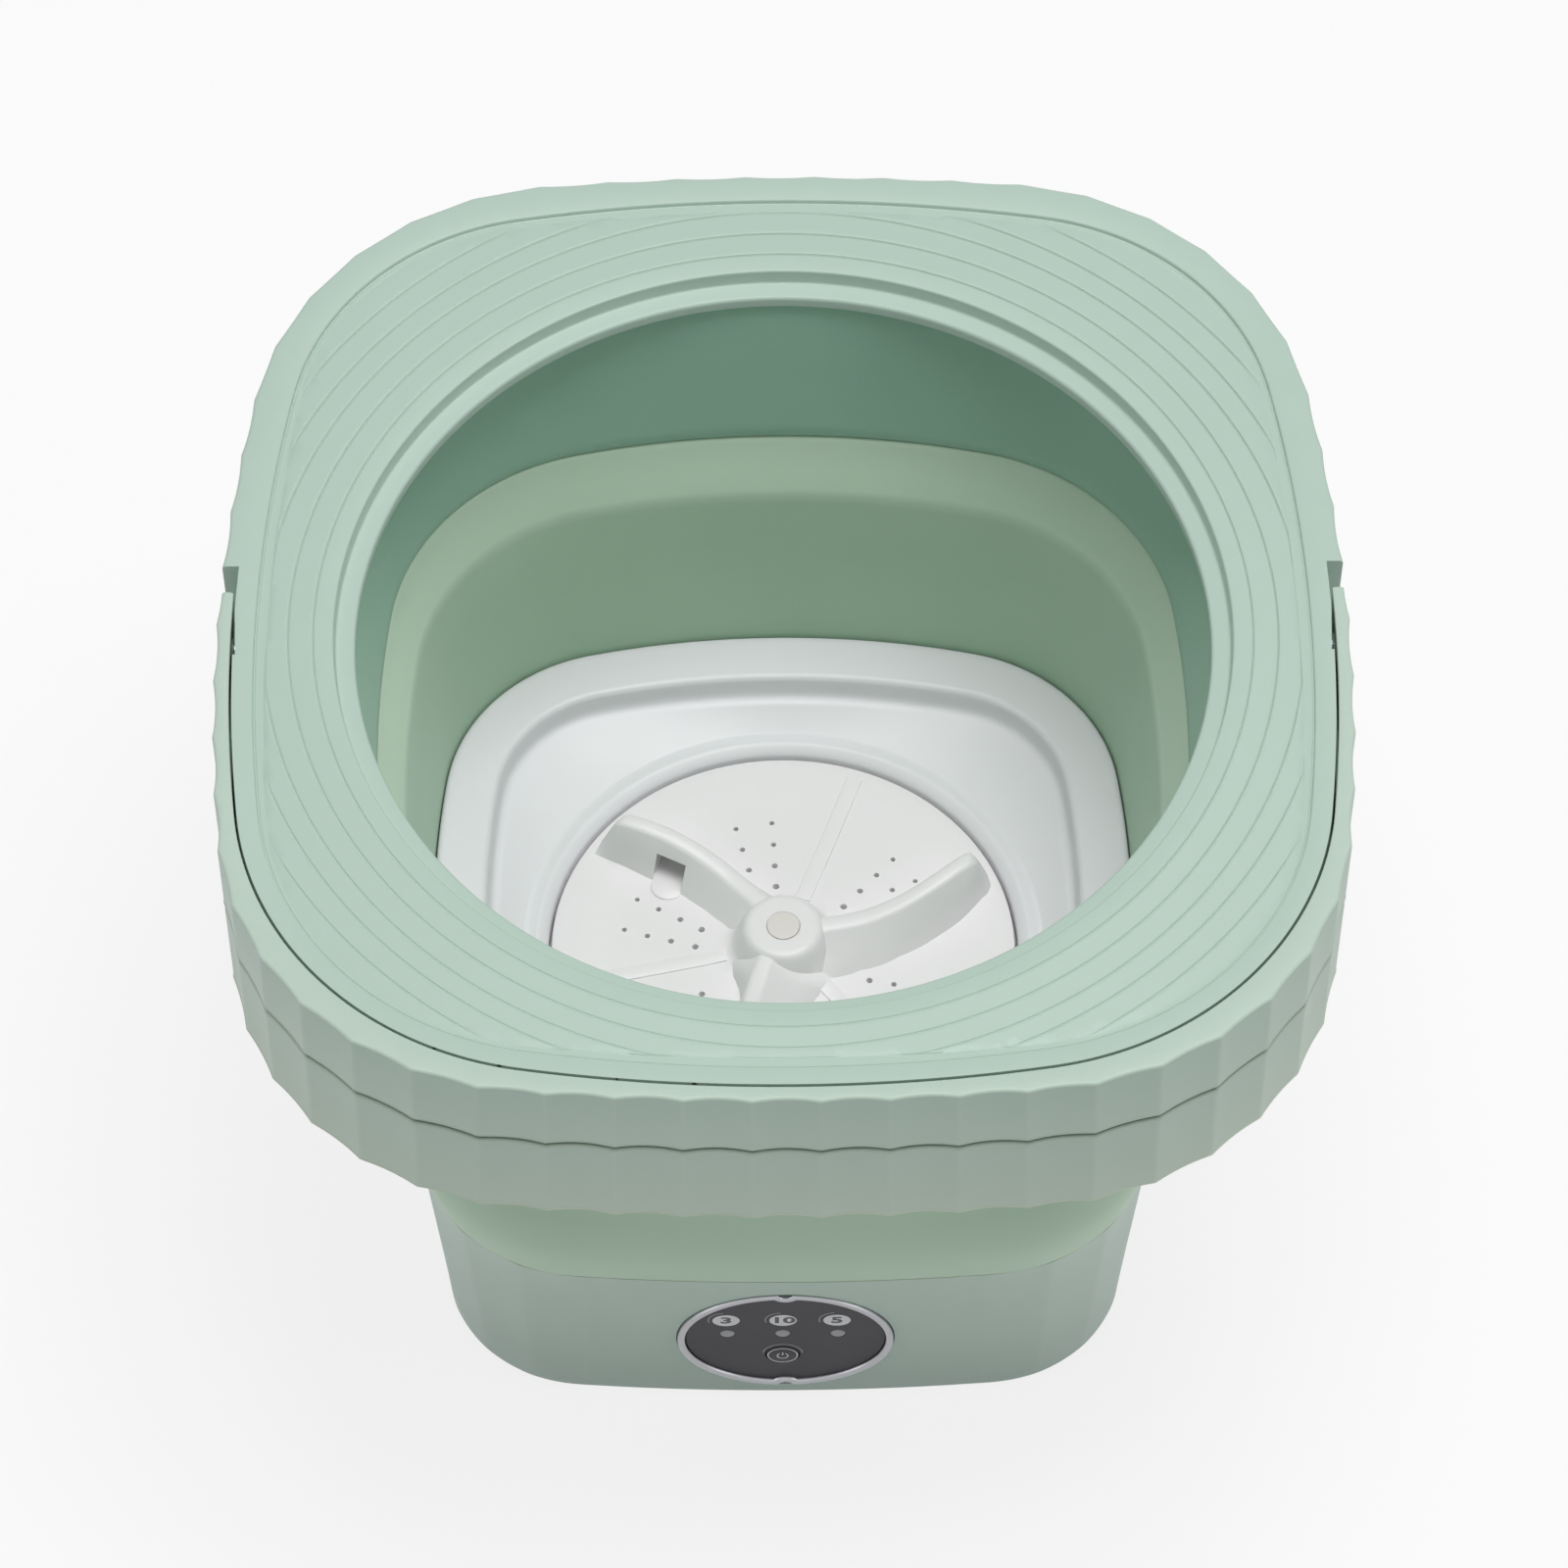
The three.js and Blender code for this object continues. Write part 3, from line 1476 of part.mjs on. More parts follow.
function drainPlug() {
  const stem = outletBore - clearance;
  const seat = outletFlange + clearance;
  const head = seat + plugHead;
  const wide = outletFlangeRadius;
  const low = [[0, -plugDepth], [stem - edgeRound, -plugDepth], [stem, edgeRound - plugDepth], [stem, seat]];
  const rim = [[wide, seat], [wide, head - edgeRound], [wide - edgeRound, head], [plugTab, head]];
  return turned([...low, ...rim, [plugTab, head + plugTab], [0, head + plugTab]], 20);
}

// A point on the line that comes straight out of the rear wall at the drain
function drainAxis(depth) {
  return new THREE.Vector3(0, 0, -depth).applyMatrix4(rearPlace(outletX, outletZ));
}

// Straight legs joined by round bends, from the basin's socket to the outlet
function drainPath() {
  const top = floorTop - basinWall - clearance;
  const turnZ = outletZ + pipeLead;
  const start = new THREE.Vector3(drainX, drainY, top);
  const bend = new THREE.Vector3(drainX, drainY, turnZ + pipeLead);
  const foot = new THREE.Vector3(drainX, drainY, turnZ - pipeLead);
  const level = new THREE.Vector3(drainX, drainY + 2 * pipeLead, turnZ - pipeLead);
  const end = drainAxis(outletDepth - pipeGrip);
  const near = drainAxis(outletDepth + pipeLead);
  const far = drainAxis(outletDepth + 2 * pipeLead);
  const path = new THREE.CurvePath();
  path.add(new THREE.LineCurve3(start, bend));
  path.add(new THREE.QuadraticBezierCurve3(bend, foot, level));
  path.add(new THREE.QuadraticBezierCurve3(level, far, near));
  path.add(new THREE.LineCurve3(near, end));
  return path;
}

function drainPipe() {
  const circle = (radius) => ellipsePoints(radius, radius, pipeSides).map((p) => new THREE.Vector2(...p));
  const section = new THREE.Shape(circle(pipeOuter));
  section.holes.push(new THREE.Path(circle(pipeInner)));
  return new THREE.ExtrudeGeometry(section, { steps: pipeSteps, extrudePath: drainPath() });
}

add("power_inlet", powerInlet(), black, placedGroup(rearPlace(inletX, inletZ)));
const drainGroup = placedGroup(rearPlace(outletX, outletZ));
add("drain_outlet", drainOutlet(), greenDark, drainGroup);
add("drain_plug", drainPlug(), softGreen, drainGroup);
add("drain_pipe", drainPipe(), white);

export default model;
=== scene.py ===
"""The look of a folding mini washing machine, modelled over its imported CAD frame.

Sizes are in millimetres, in the frame of the CAD, and become metres when a mesh is shaped.
"""

import logging
import math
from dataclasses import dataclass, field
from enum import Enum
from typing import Any, Callable, ClassVar, Sequence

import bpy
import numpy as np
from bpy.types import Material, Node, NodeSocket, Object, World
from mathutils import Matrix, Vector


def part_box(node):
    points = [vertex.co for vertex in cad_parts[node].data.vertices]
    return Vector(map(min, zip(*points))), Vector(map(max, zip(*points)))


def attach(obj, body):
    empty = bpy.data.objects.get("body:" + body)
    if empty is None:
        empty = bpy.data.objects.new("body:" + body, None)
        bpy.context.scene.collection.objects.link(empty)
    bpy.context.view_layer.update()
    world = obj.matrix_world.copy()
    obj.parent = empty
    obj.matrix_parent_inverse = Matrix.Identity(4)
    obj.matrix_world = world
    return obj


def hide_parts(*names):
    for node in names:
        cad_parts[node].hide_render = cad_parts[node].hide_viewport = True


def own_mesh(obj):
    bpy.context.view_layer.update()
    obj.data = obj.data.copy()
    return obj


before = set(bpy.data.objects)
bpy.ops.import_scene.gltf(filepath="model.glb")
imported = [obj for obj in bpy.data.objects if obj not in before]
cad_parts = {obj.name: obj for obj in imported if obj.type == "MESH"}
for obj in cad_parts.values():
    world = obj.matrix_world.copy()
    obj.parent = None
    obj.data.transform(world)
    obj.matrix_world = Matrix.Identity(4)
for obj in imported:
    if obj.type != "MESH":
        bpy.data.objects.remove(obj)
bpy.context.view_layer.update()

log = logging.getLogger("washer")

MM = 0.001
UNDERLAP = 0.02
WELD = 2e-6

# Largest angles that stay smooth, in degrees: plain, fluted, turned and soft shapes.
FLAT, FLUTED, TURNED, SOFT = 30, 34, 40, 50

WHITE = (1, 1, 1, 1)

Pair = tuple[float, float]
Triple = tuple[float, float, float]
Profile = Sequence[Pair]
Settings = dict[str, Any] | None
Inputs = dict[int | str, Any] | None


class Body(Enum):
    """The bodies that the modelled pieces move with."""

    BASE = "base"
    RIM = "rim"
    HANDLE = "handle"
    PULSATOR = "pulsator_unit"
    BUTTON = "button"
    PLUG = "plug"


class Slot(Enum):
    """Names of the record's finishes, passed along with the modelled pieces."""

    SHELL = "shell_green"
    SKIRT = "skirt_green"
    SOFT = "soft_green"
    WHITE = "white_plastic"
    PANEL = "panel_grey"
    BEZEL = "bezel_silver"
    LAMP = "lamp_grey"
    BUTTON = "button_grey"
    RUBBER = "black_rubber"
    BLACK = "black_plastic"
    CAP = "cap_white"


class Join(Enum):
    """How one solid is combined with another."""

    ADD = "UNION"
    CUT = "DIFFERENCE"


# Modelling


def top_of(node: str) -> float:
    """Height of the top of a CAD node, in millimetres."""
    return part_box(node)[1].z / MM


def foot_of(node: str) -> float:
    """Height of the lowest point of a CAD node, in millimetres."""
    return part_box(node)[0].z / MM


def height_of(end: Callable[[str], float], node: str) -> float:
    """A field that holds the height of a node's top or foot."""
    return field(default_factory=lambda: end(node))


def middle_of(node: str) -> Pair:
    """Middle of a CAD node seen from above, in millimetres."""
    low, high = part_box(node)
    return (low.x + high.x) / 2 / MM, (low.y + high.y) / 2 / MM


def select_only(obj: Object) -> None:
    """Make one object the selected and active one.

    Args:
        obj: The object.
    """
    bpy.ops.object.select_all(action="DESELECT")
    obj.select_set(True)
    bpy.context.view_layer.objects.active = obj


def in_edit(obj: Object, *steps: Callable[[], Any]) -> None:
    """Run mesh operators on everything in an object.

    Args:
        obj: The object to edit.
        steps: Operators to run with all vertices selected.
    """
    select_only(obj)
    bpy.ops.object.mode_set(mode="EDIT")
    bpy.ops.mesh.select_mode(type="VERT")
    bpy.ops.mesh.select_all(action="SELECT")
    for step in steps:
        step()
    bpy.ops.object.mode_set(mode="OBJECT")


def settle(obj: Object, angle: float = FLAT) -> Object:
    """Weld a mesh, face it outwards and shade it smooth up to an angle.

    Args:
        obj: The piece.
        angle: Largest angle that stays smooth, in degrees.

    Returns:
        The same piece.
    """
    in_edit(
        obj,
        lambda: bpy.ops.mesh.remove_doubles(threshold=WELD),
        lambda: bpy.ops.mesh.normals_make_consistent(inside=False),
    )
    bpy.ops.object.shade_smooth_by_angle(angle=math.radians(angle))
    return obj


def loft(
    name: str,
    rings: np.ndarray,
    closed: bool = False,
    angle: float = FLAT,
    tint: np.ndarray | None = None,
) -> Object:
    """Model a skin through rings with the same number of points.

    Args:
        name: Name of the piece.
        rings: Points as rings by places by three, in millimetres.
        closed: Whether the last ring joins the first, instead of each end being filled.
        angle: Largest angle that stays smooth, in degrees.
        tint: Share of the finish's pale colour, painted as a highlight, at each point.

    Returns:
        The piece, with its place in its mesh.
    """
    if closed:
        rings = np.concatenate([rings, rings[:1]])
        tint = None if tint is None else np.concatenate([tint, tint[:1]])
    levels, around = rings.shape[:2]
    bpy.ops.object.select_all(action="DESELECT")
    bpy.ops.mesh.primitive_circle_add(vertices=around, radius=1, fill_type="NOTHING")
    obj = bpy.context.object
    obj.name = obj.data.name = name
    bpy.ops.object.mode_set(mode="EDIT")
    bpy.ops.mesh.select_mode(type="VERT")
    bpy.ops.mesh.select_all(action="SELECT")
    for _ in range(levels - 1):
        bpy.ops.mesh.extrude_edges_move(TRANSFORM_OT_translate={"value": (0, 0, 1)})
    bpy.ops.object.mode_set(mode="OBJECT")
    mesh = obj.data
    places = np.empty(len(mesh.vertices) * 3)
    mesh.vertices.foreach_get("co", places)
    places = places.reshape(-1, 3)
    turns = np.arctan2(places[:, 1], places[:, 0])
    level = np.rint(places[:, 2]).astype(int)
    place = np.rint((turns - turns[0]) * around / (2 * math.pi)).astype(int) % around
    mesh.vertices.foreach_set("co", (rings[level, place] * MM).ravel())
    # Each point's share of the pale colour that is painted as a highlight.
    if tint is not None:
        mesh.attributes.new("tint", "FLOAT", "POINT").data.foreach_set("value", tint[level, place])
    mesh.update()
    if not closed:
        in_edit(
            obj,
            lambda: bpy.ops.mesh.remove_doubles(threshold=WELD),
            lambda: bpy.ops.mesh.select_all(action="DESELECT"),
            lambda: bpy.ops.mesh.select_non_manifold(extend=False),
            lambda: bpy.ops.mesh.fill_holes(sides=0),
        )
    return settle(obj, angle)


def lathe(
    name: str, profile: Profile, steps: int, closed: bool = False, angle: float = FLAT
) -> Object:
    """Model a turned piece from a profile.

    Args:
        name: Name of the piece.
        profile: Radius and height of each point, in millimetres.
        steps: Number of places round the axis.
        closed: Whether the profile closes on itself.
        angle: Largest angle that stays smooth, in degrees.

    Returns:
        The piece, standing on its own axis.
    """
    turns = np.arange(steps) * 2 * math.pi / steps
    rings = np.array([[(r * math.cos(t), r * math.sin(t), z) for t in turns] for r, z in profile])
    return loft(name, rings, closed, angle)


def block(name: str, low: Sequence[float], high: Sequence[float]) -> Object:
    """Model a plain block, as a tool to cut with.

    Args:
        name: Name of the block.
        low: Its lowest corner, in millimetres.
        high: Its highest corner.

    Returns:
        The block.
    """
    bpy.ops.object.select_all(action="DESELECT")
    bpy.ops.mesh.primitive_cube_add(size=1)
    obj = bpy.context.object
    obj.name = obj.data.name = name
    low, high = np.array(low) * MM, np.array(high) * MM
    obj.data.transform(Matrix.Translation((low + high) / 2) @ Matrix.Diagonal((*(high - low), 1)))
    return obj


def combine(obj: Object, how: Join, *others: Object) -> Object:
    """Combine a solid with others, which are used up.

    Args:
        obj: The solid that stays.
        how: Whether the others are added or cut away.
        others: The other solids.

    Returns:
        The combined solid.
    """
    for other in others:
        select_only(obj)
        boolean = obj.modifiers.new("combine", "BOOLEAN")
        boolean.operation = how.value
        boolean.solver = "EXACT"
        boolean.object = other
        bpy.ops.object.modifier_apply(modifier=boolean.name)
        bpy.data.objects.remove(other, do_unlink=True)
    return obj


def keep_side(obj: Object, point: Sequence[float], normal: Sequence[float]) -> Object:
    """Cut a solid by a plane and fill the cut.

    Args:
        obj: The solid.
        point: A point on the plane, in millimetres.
        normal: The side that is taken away.

    Returns:
        What is left of the solid.
    """
    place = tuple(value * MM for value in point)
    in_edit(
        obj,
        lambda: bpy.ops.mesh.bisect(
            plane_co=place, plane_no=normal, use_fill=True, clear_outer=True, clear_inner=False
        ),
    )
    return obj


def joined(*objs: Object) -> Object:
    """Make one object of several that don't touch.

    Args:
        objs: The objects, of which the first stays.

    Returns:
        The one object.
    """
    bpy.ops.object.select_all(action="DESELECT")
    for obj in objs:
        obj.select_set(True)
    bpy.context.view_layer.objects.active = objs[0]
    bpy.ops.object.join()
    return objs[0]


def turn_copy(obj: Object, name: str, matrix: Matrix) -> Object:
    """Copy a piece with its own mesh and move the copy's mesh.

    Args:
        obj: The piece.
        name: Name of the copy.
        matrix: How the copy is moved, in metres.

    Returns:
        The copy.
    """
    copy = obj.copy()
    copy.data = obj.data.copy()
    copy.name = copy.data.name = name
    bpy.context.scene.collection.objects.link(copy)
    copy.data.transform(matrix)
    return copy


def spot(x: float, y: float, z: float = 0) -> Matrix:
    """A move to a spot given in millimetres."""
    return Matrix.Translation((x * MM, y * MM, z * MM))


def round_spot(radius: float, turn: float) -> Matrix:
    """A move to a spot at a radius and a turn round the middle."""
    return spot(radius * math.cos(turn), radius * math.sin(turn))


def trace(
    ring: Callable[[float, float], np.ndarray], profile: Profile, rise: float = 0
) -> list[np.ndarray]:
    """Lead rings along a profile.

    Args:
        ring: What makes a ring from a reach and a height.
        profile: Reach and height of each ring.
        rise: What is added to every height.

    Returns:
        The rings.
    """
    return [ring(reach, rise + z) for reach, z in profile]


def fillet(
    corner: Pair, start: Pair, end: Pair, steps: int = 4
) -> list[Pair]:
    """Points of a rounded corner.

    Args:
        corner: The sharp corner.
        start: Where the rounding begins.
        end: Where it ends.
        steps: Number of spans.

    Returns:
        The points from start to end.
    """
    points = []
    for k in range(steps + 1):
        turn = math.pi / 2 * k / steps
        a, b = 1 - math.sin(turn), 1 - math.cos(turn)
        points.append(tuple(c + (s - c) * a + (e - c) * b for c, s, e in zip(corner, start, end)))
    return points


def put(
    obj: Object, finish: Material, body: Body, slot: Slot, *nodes: str
) -> Object:
    """Give a finished piece its material, its body and the CAD nodes that it stands for.

    Args:
        obj: The piece.
        finish: Its material.
        body: The body that it moves with.
        slot: Not used.
        nodes: The CAD nodes that it replaces.

    Returns:
        The same piece.
    """
    obj.data.materials.clear()
    obj.data.materials.append(finish)
    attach(obj, body.value)
    if nodes:
        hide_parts(*nodes)
    log.info("%s: %d faces", obj.name, len(obj.data.polygons))
    return obj


# Outlines


def corner_centre(
    a: np.ndarray, reach_a: float, b: np.ndarray, reach_b: float, end: int
) -> np.ndarray:
    """Centre of a corner arc that touches two long arcs from inside.

    Args:
        a: Centre of the first long arc.
        reach_a: Its radius less the corner's.
        b: Centre of the second long arc.
        reach_b: Its radius less the corner's.
        end: -1 for a corner at the front, 1 at the rear.

    Returns:
        The centre.
    """
    span = b - a
    length = float(np.hypot(*span))
    along = (reach_a**2 - reach_b**2 + length**2) / (2 * length)
    across = math.sqrt(max(reach_a**2 - along**2, 0))
    unit = span / length
    normal = np.array([-unit[1], unit[0]])
    one, two = a + unit * along + normal * across, a + unit * along - normal * across
    return one if end * (one[1] - two[1]) > 0 else two


@dataclass(frozen=True)
class Outline:
    """A rounded square of long arcs joined by corner arcs, the same on both sides."""

    half_width: float
    front: float
    rear: float
    widest: float
    side_arc: float
    end_arc: float
    front_corner: float
    rear_corner: float
    fine: ClassVar[int] = 4096

    def arcs(self) -> list[tuple[np.ndarray, float, float, float]]:
        """The right half's arcs from front to rear.

        Returns:
            Centre, radius, first and last turn of each arc.
        """
        side = np.array([self.half_width - self.side_arc, -self.widest])
        front = np.array([0.0, self.end_arc - self.front])
        rear = np.array([0.0, self.rear - self.end_arc])
        low = corner_centre(
            front, self.end_arc - self.front_corner, side, self.side_arc - self.front_corner, -1
        )
        high = corner_centre(
            rear, self.end_arc - self.rear_corner, side, self.side_arc - self.rear_corner, 1
        )
        spans = [low - front, low - side, high - side, high - rear]
        turns = [-math.pi / 2, *(math.atan2(v[1], v[0]) for v in spans), math.pi / 2]
        centres = [front, low, side, high, rear]
        radii = [self.end_arc, self.front_corner, self.side_arc, self.rear_corner, self.end_arc]
        return [(c, r, turns[i], turns[i + 1]) for i, (c, r) in enumerate(zip(centres, radii))]

    def length(self) -> float:
        """Length of the whole outline."""
        return 2 * sum(r * (last - first) for _, r, first, last in self.arcs())

    def at(self, travel: np.ndarray) -> tuple[np.ndarray, np.ndarray]:
        """Points and outward normals at distances along the outline.

        Args:
            travel: Distances from the middle of the front, towards +X.

        Returns:
            The points and the normals, each as rows of X and Y.
        """
        whole = self.length()
        half = whole / 2
        travel = np.mod(travel, whole)
        mirrored = travel > half
        left = np.where(mirrored, whole - travel, travel)
        points = np.zeros((len(left), 2))
        normals = np.zeros((len(left), 2))
        start = 0.0
        for centre, radius, first, last in self.arcs():
            end = start + radius * (last - first)
            here = (left >= start - 1e-9) & (left <= end + 1e-9)
            turn = first + (left[here] - start) / radius
            normals[here] = np.column_stack([np.cos(turn), np.sin(turn)])
            points[here] = centre + radius * normals[here]
            start = end
        flip = np.where(mirrored, -1.0, 1.0)
        points[:, 0] *= flip
        normals[:, 0] *= flip
        return points, normals

    def walk(self, count: int) -> tuple[np.ndarray, np.ndarray]:
        """Points and normals at equal distances round the outline."""
        return self.at(np.arange(count) * self.length() / count)

    def polar(self, turns: np.ndarray, grow: float) -> np.ndarray:
        """Points of the outline in given directions from the middle.

        Args:
            turns: The directions.
            grow: Distance by which the outline is grown.

        Returns:
            The points, as rows of X and Y.
        """
        points, normals = self.walk(self.fine)
        points = points + normals * grow
        angles = np.arctan2(points[:, 1], points[:, 0])
        order = np.argsort(angles)
        reach = np.interp(turns, angles[order], np.hypot(*points[order].T), period=2 * math.pi)
        return np.column_stack([reach * np.cos(turns), reach * np.sin(turns)])


def level_ring(points: np.ndarray, z: float | np.ndarray) -> np.ndarray:
    """A ring of points at a height."""
    return np.column_stack([points, np.broadcast_to(z, len(points))])


def circle_ring(turns: np.ndarray, radius: float | np.ndarray, z: float | np.ndarray) -> np.ndarray:
    """A round ring in given directions."""
    return level_ring(np.column_stack([radius * np.cos(turns), radius * np.sin(turns)]), z)


RIM_OUTLINE = Outline(164.5, 162.5, 162.5, 33, 565, 774, 95, 95)
SEAT_OUTLINE = Outline(152.7, 149.9, 153.6, 23, 500, 472, 90.5, 79.5)
TUB_OUTLINE = Outline(101.5, 101, 101, 0, 330, 260, 54, 54)
BASE_OUTLINE = Outline(99.3, 99.3, 99.3, 0, 735, 735, 40, 40)
BASE_SLOPE = math.radians(7.5)


@dataclass(frozen=True)
class Flutes:
    """Shallow hollows side by side, with a narrow rounded ridge between each two."""

    count: int = 56
    depth: float = 1.36
    steps: tuple[float, ...] = (
        -0.46, -0.42, -0.35, -0.24, -0.12, 0, 0.12, 0.24, 0.35, 0.42, 0.46, 0.5,
    )
    ridge: float = 0.06
    depth_at: Triple = (-140, 0, 160)
    shares_at: Triple = (0.9, 0.6, 0.42)
    crest_from: float = 0.44

    def shares(self) -> np.ndarray:
        """Places as numbers of flutes from the middle of the front, closer together at the ridges."""
        return (np.arange(self.count)[:, None] + np.array(self.steps)).ravel()

    def dip(self, share: np.ndarray, across: np.ndarray) -> np.ndarray:
        """Depth of the hollows, which are deeper at the front than at the rear.

        Args:
            share: Places as numbers of flutes from the middle of the front.
            across: Their Y.

        Returns:
            The depth at each place, in millimetres.
        """
        aside = 2 * (share - np.round(share))
        deep = self.depth * np.interp(across, self.depth_at, self.shares_at)
        raw = deep * (1 - aside**2)
        return np.sqrt(raw**2 + self.ridge**2) - self.ridge

    def crest(self, share: np.ndarray) -> np.ndarray:
        """How near each place is to a ridge, from 0 to 1."""
        return np.clip((np.abs(share - np.round(share)) - self.crest_from) / 0.06, 0, 1)


# Finishes


def linear(code: str) -> tuple[float, float, float, float]:
    """Linear colour of a hex code."""
    parts = [int(code[k : k + 2], 16) / 255 for k in (0, 2, 4)]
    return (*(p / 12.92 if p <= 0.04045 else ((p + 0.055) / 1.055) ** 2.4 for p in parts), 1.0)


class Wire:
    """A socket whose value varies over the surface; arithmetic on it adds Math nodes."""

    def __init__(self, graph: "Graph", socket: NodeSocket) -> None:
        """Keep the graph and the socket."""
        self.graph = graph
        self.socket = socket

    def math(self, operation: str, *values: "Wire | float") -> "Wire":
        """Add one Math node on this and other values."""
        return self.graph.wire("ShaderNodeMath", {"operation": operation}, dict(enumerate(values)))

    def __add__(self, other: "Wire | float") -> "Wire":
        """Sum."""
        return self.math("ADD", self, other)

    __radd__ = __add__

    def __mul__(self, other: "Wire | float") -> "Wire":
        """Product."""
        return self.math("MULTIPLY", self, other)

    __rmul__ = __mul__

    def __sub__(self, other: "Wire | float") -> "Wire":
        """Difference."""
        return self.math("SUBTRACT", self, other)

    def __rsub__(self, other: "Wire | float") -> "Wire":
        """Difference from a number."""
        return self.math("SUBTRACT", other, self)


class Graph:
    """The nodes of one material or sky."""

    def __init__(self, owner: Material | World) -> None:
        """Start with no nodes.

        Args:
            owner: The material or sky.
        """
        owner.use_nodes = True
        self.owner, self.tree = owner, owner.node_tree
        self.tree.nodes.clear()

    def node(self, kind: str, settings: Settings = None, inputs: Inputs = None) -> Node:
        """Add a node.

        Args:
            kind: The node's type.
            settings: Its properties; stops sets a ramp's stops as position and colour.
            inputs: Values or wires of its sockets, by name or number.

        Returns:
            The node.
        """
        made = self.tree.nodes.new(kind)
        for key, value in (settings or {}).items():
            if key == "stops":
                ramp = made.color_ramp.elements
                while len(ramp) < len(value):
                    ramp.new(0.5)
                for stop, (position, colour) in zip(ramp, value):
                    stop.position, stop.color = position, colour
            else:
                setattr(made, key, value)
        for key, value in (inputs or {}).items():
            if isinstance(value, Wire):
                self.tree.links.new(value.socket, made.inputs[key])
            else:
                made.inputs[key].default_value = value
        return made

    def wire(
        self, kind: str, settings: Settings = None, inputs: Inputs = None, output: int | str = 0
    ) -> Wire:
        """Add a node and take one of its outputs."""
        return Wire(self, self.node(kind, settings, inputs).outputs[output])

    def place(self) -> Wire:
        """Object coordinates."""
        return self.wire("ShaderNodeTexCoord", output="Object")

    def noise(self, scale: float, detail: float, stretch: Triple | None = None) -> Wire:
        """Noise from 0 to 1 with a middle of a half.

        Args:
            scale: Repeats in a metre.
            detail: Number of finer layers.
            stretch: Factors along X, Y and Z.

        Returns:
            The noise value.
        """
        where = self.place()
        if stretch is not None:
            where = self.wire("ShaderNodeMapping", None, {"Vector": where, "Scale": tuple(stretch)})
        inputs = {"Vector": where, "Scale": scale, "Detail": detail, "Roughness": 0.5}
        return self.wire("ShaderNodeTexNoise", None, inputs)

    def tint(self) -> Wire:
        """Share of the pale colour, painted as a highlight, that the mesh carries."""
        return self.wire("ShaderNodeAttribute", {"attribute_name": "tint"}, output="Fac")

    def blend(self, factor: Wire, first: "Wire | tuple", second: tuple) -> Wire:
        """Mix two colours.

        Args:
            factor: Share of the second, from 0 to 1.
            first: The first colour.
            second: The second colour.

        Returns:
            The mixed colour.
        """
        mix = {0: factor, 6: first, 7: second}
        return self.wire("ShaderNodeMix", {"data_type": "RGBA"}, mix, output=2)

    def finish(self, normal: Wire | None = None, **inputs: Any) -> Material:
        """End in a Principled shader.

        Args:
            normal: What the surface's normal is taken from.
            inputs: Values or wires by socket name, with _ for a space.

        Returns:
            The material.
        """
        sockets = {key.replace("_", " "): value for key, value in inputs.items()}
        if normal is not None:
            sockets["Normal"] = normal
        shader = self.wire("ShaderNodeBsdfPrincipled", None, sockets)
        self.node("ShaderNodeOutputMaterial", None, {"Surface": shader})
        return self.owner

    def bump(self, height: Wire, distance: float, under: Wire | None = None) -> Wire:
        """Turn a height into a normal.

        Args:
            height: Height from 0 to 1.
            distance: What a height of 1 stands for, in millimetres.
            under: A normal to start from.

        Returns:
            The bent normal.
        """
        inputs = {"Height": height, "Distance": distance * MM, "Strength": 1.0}
        if under is not None:
            inputs["Normal"] = under
        return self.wire("ShaderNodeBump", None, inputs)


@dataclass(frozen=True)
class Moulded:
    """Injection-moulded plastic: a satin skin with a very fine grain and faint flow marks, and a pale
    colour painted as a highlight where the mesh asks for it.
    """

    name: str
    colour: str
    shade: str
    roughness: float = 0.42
    grain: float = 0.012
    peel: float = 0.02
    specular: float = 0.4
    # Pale colour painted as a highlight on flute ridges, the skirt's shoulder and lower edge, the handle's
    # edges and the base's top edge.
    edge: str = "d4dccb"

    def make(self) -> Material:
        """Build the material.

        Returns:
            The material.
        """
        graph = Graph(bpy.data.materials.new(self.name))
        flow = graph.noise(9, 3)
        speck = graph.noise(140, 2)
        tone = (flow * 0.7 + speck * 0.3 - 0.35) * 1.6
        base = graph.blend(tone, linear(self.shade), linear(self.colour))
        # Painted highlight: the colour is blended towards the pale colour by the mesh's share.
        base = graph.blend(graph.tint(), base, linear(self.edge))
        rough = self.roughness + (graph.noise(60, 3) - 0.5) * 0.1
        wave = graph.bump(graph.noise(120, 1), self.peel)
        skin = graph.bump(graph.noise(1600, 2), self.grain, under=wave)
        return graph.finish(skin, Base_Color=base, Roughness=rough, Specular_IOR_Level=self.specular)


@dataclass(frozen=True)
class Elastomer:
    """Soft rubbery plastic: matt, a little cloudy, with a faint sheen and drag marks, and a paler colour
    painted as a highlight where the mesh asks for it.
    """

    name: str
    colour: str
    shade: str
    roughness: float = 0.5
    sheen: float = 0.08
    # Paler colour painted as a highlight on the soft tub's bulge and fold.
    outside: str = "c8dec9"

    def make(self) -> Material:
        """Build the material.

        Returns:
            The material.
        """
        graph = Graph(bpy.data.materials.new(self.name))
        cloud = graph.noise(14, 4)
        streak = graph.noise(26, 3, (1, 1, 0.22))
        tone = (cloud * 0.6 + streak * 0.4 - 0.3) * 1.5
        base = graph.blend(tone, linear(self.shade), linear(self.colour))
        # Painted highlight: the colour is blended towards the paler colour by the mesh's share.
        base = graph.blend(graph.tint(), base, linear(self.outside))
        rough = self.roughness + (graph.noise(45, 3) - 0.5) * 0.16
        soft = graph.bump(graph.noise(70, 2), 0.05)
        skin = graph.bump(graph.noise(900, 3), 0.02, under=soft)
        return graph.finish(
            skin,
            Base_Color=base,
            Roughness=rough,
            Sheen_Weight=self.sheen,
            Sheen_Roughness=0.5,
            Specular_IOR_Level=0.35,
        )


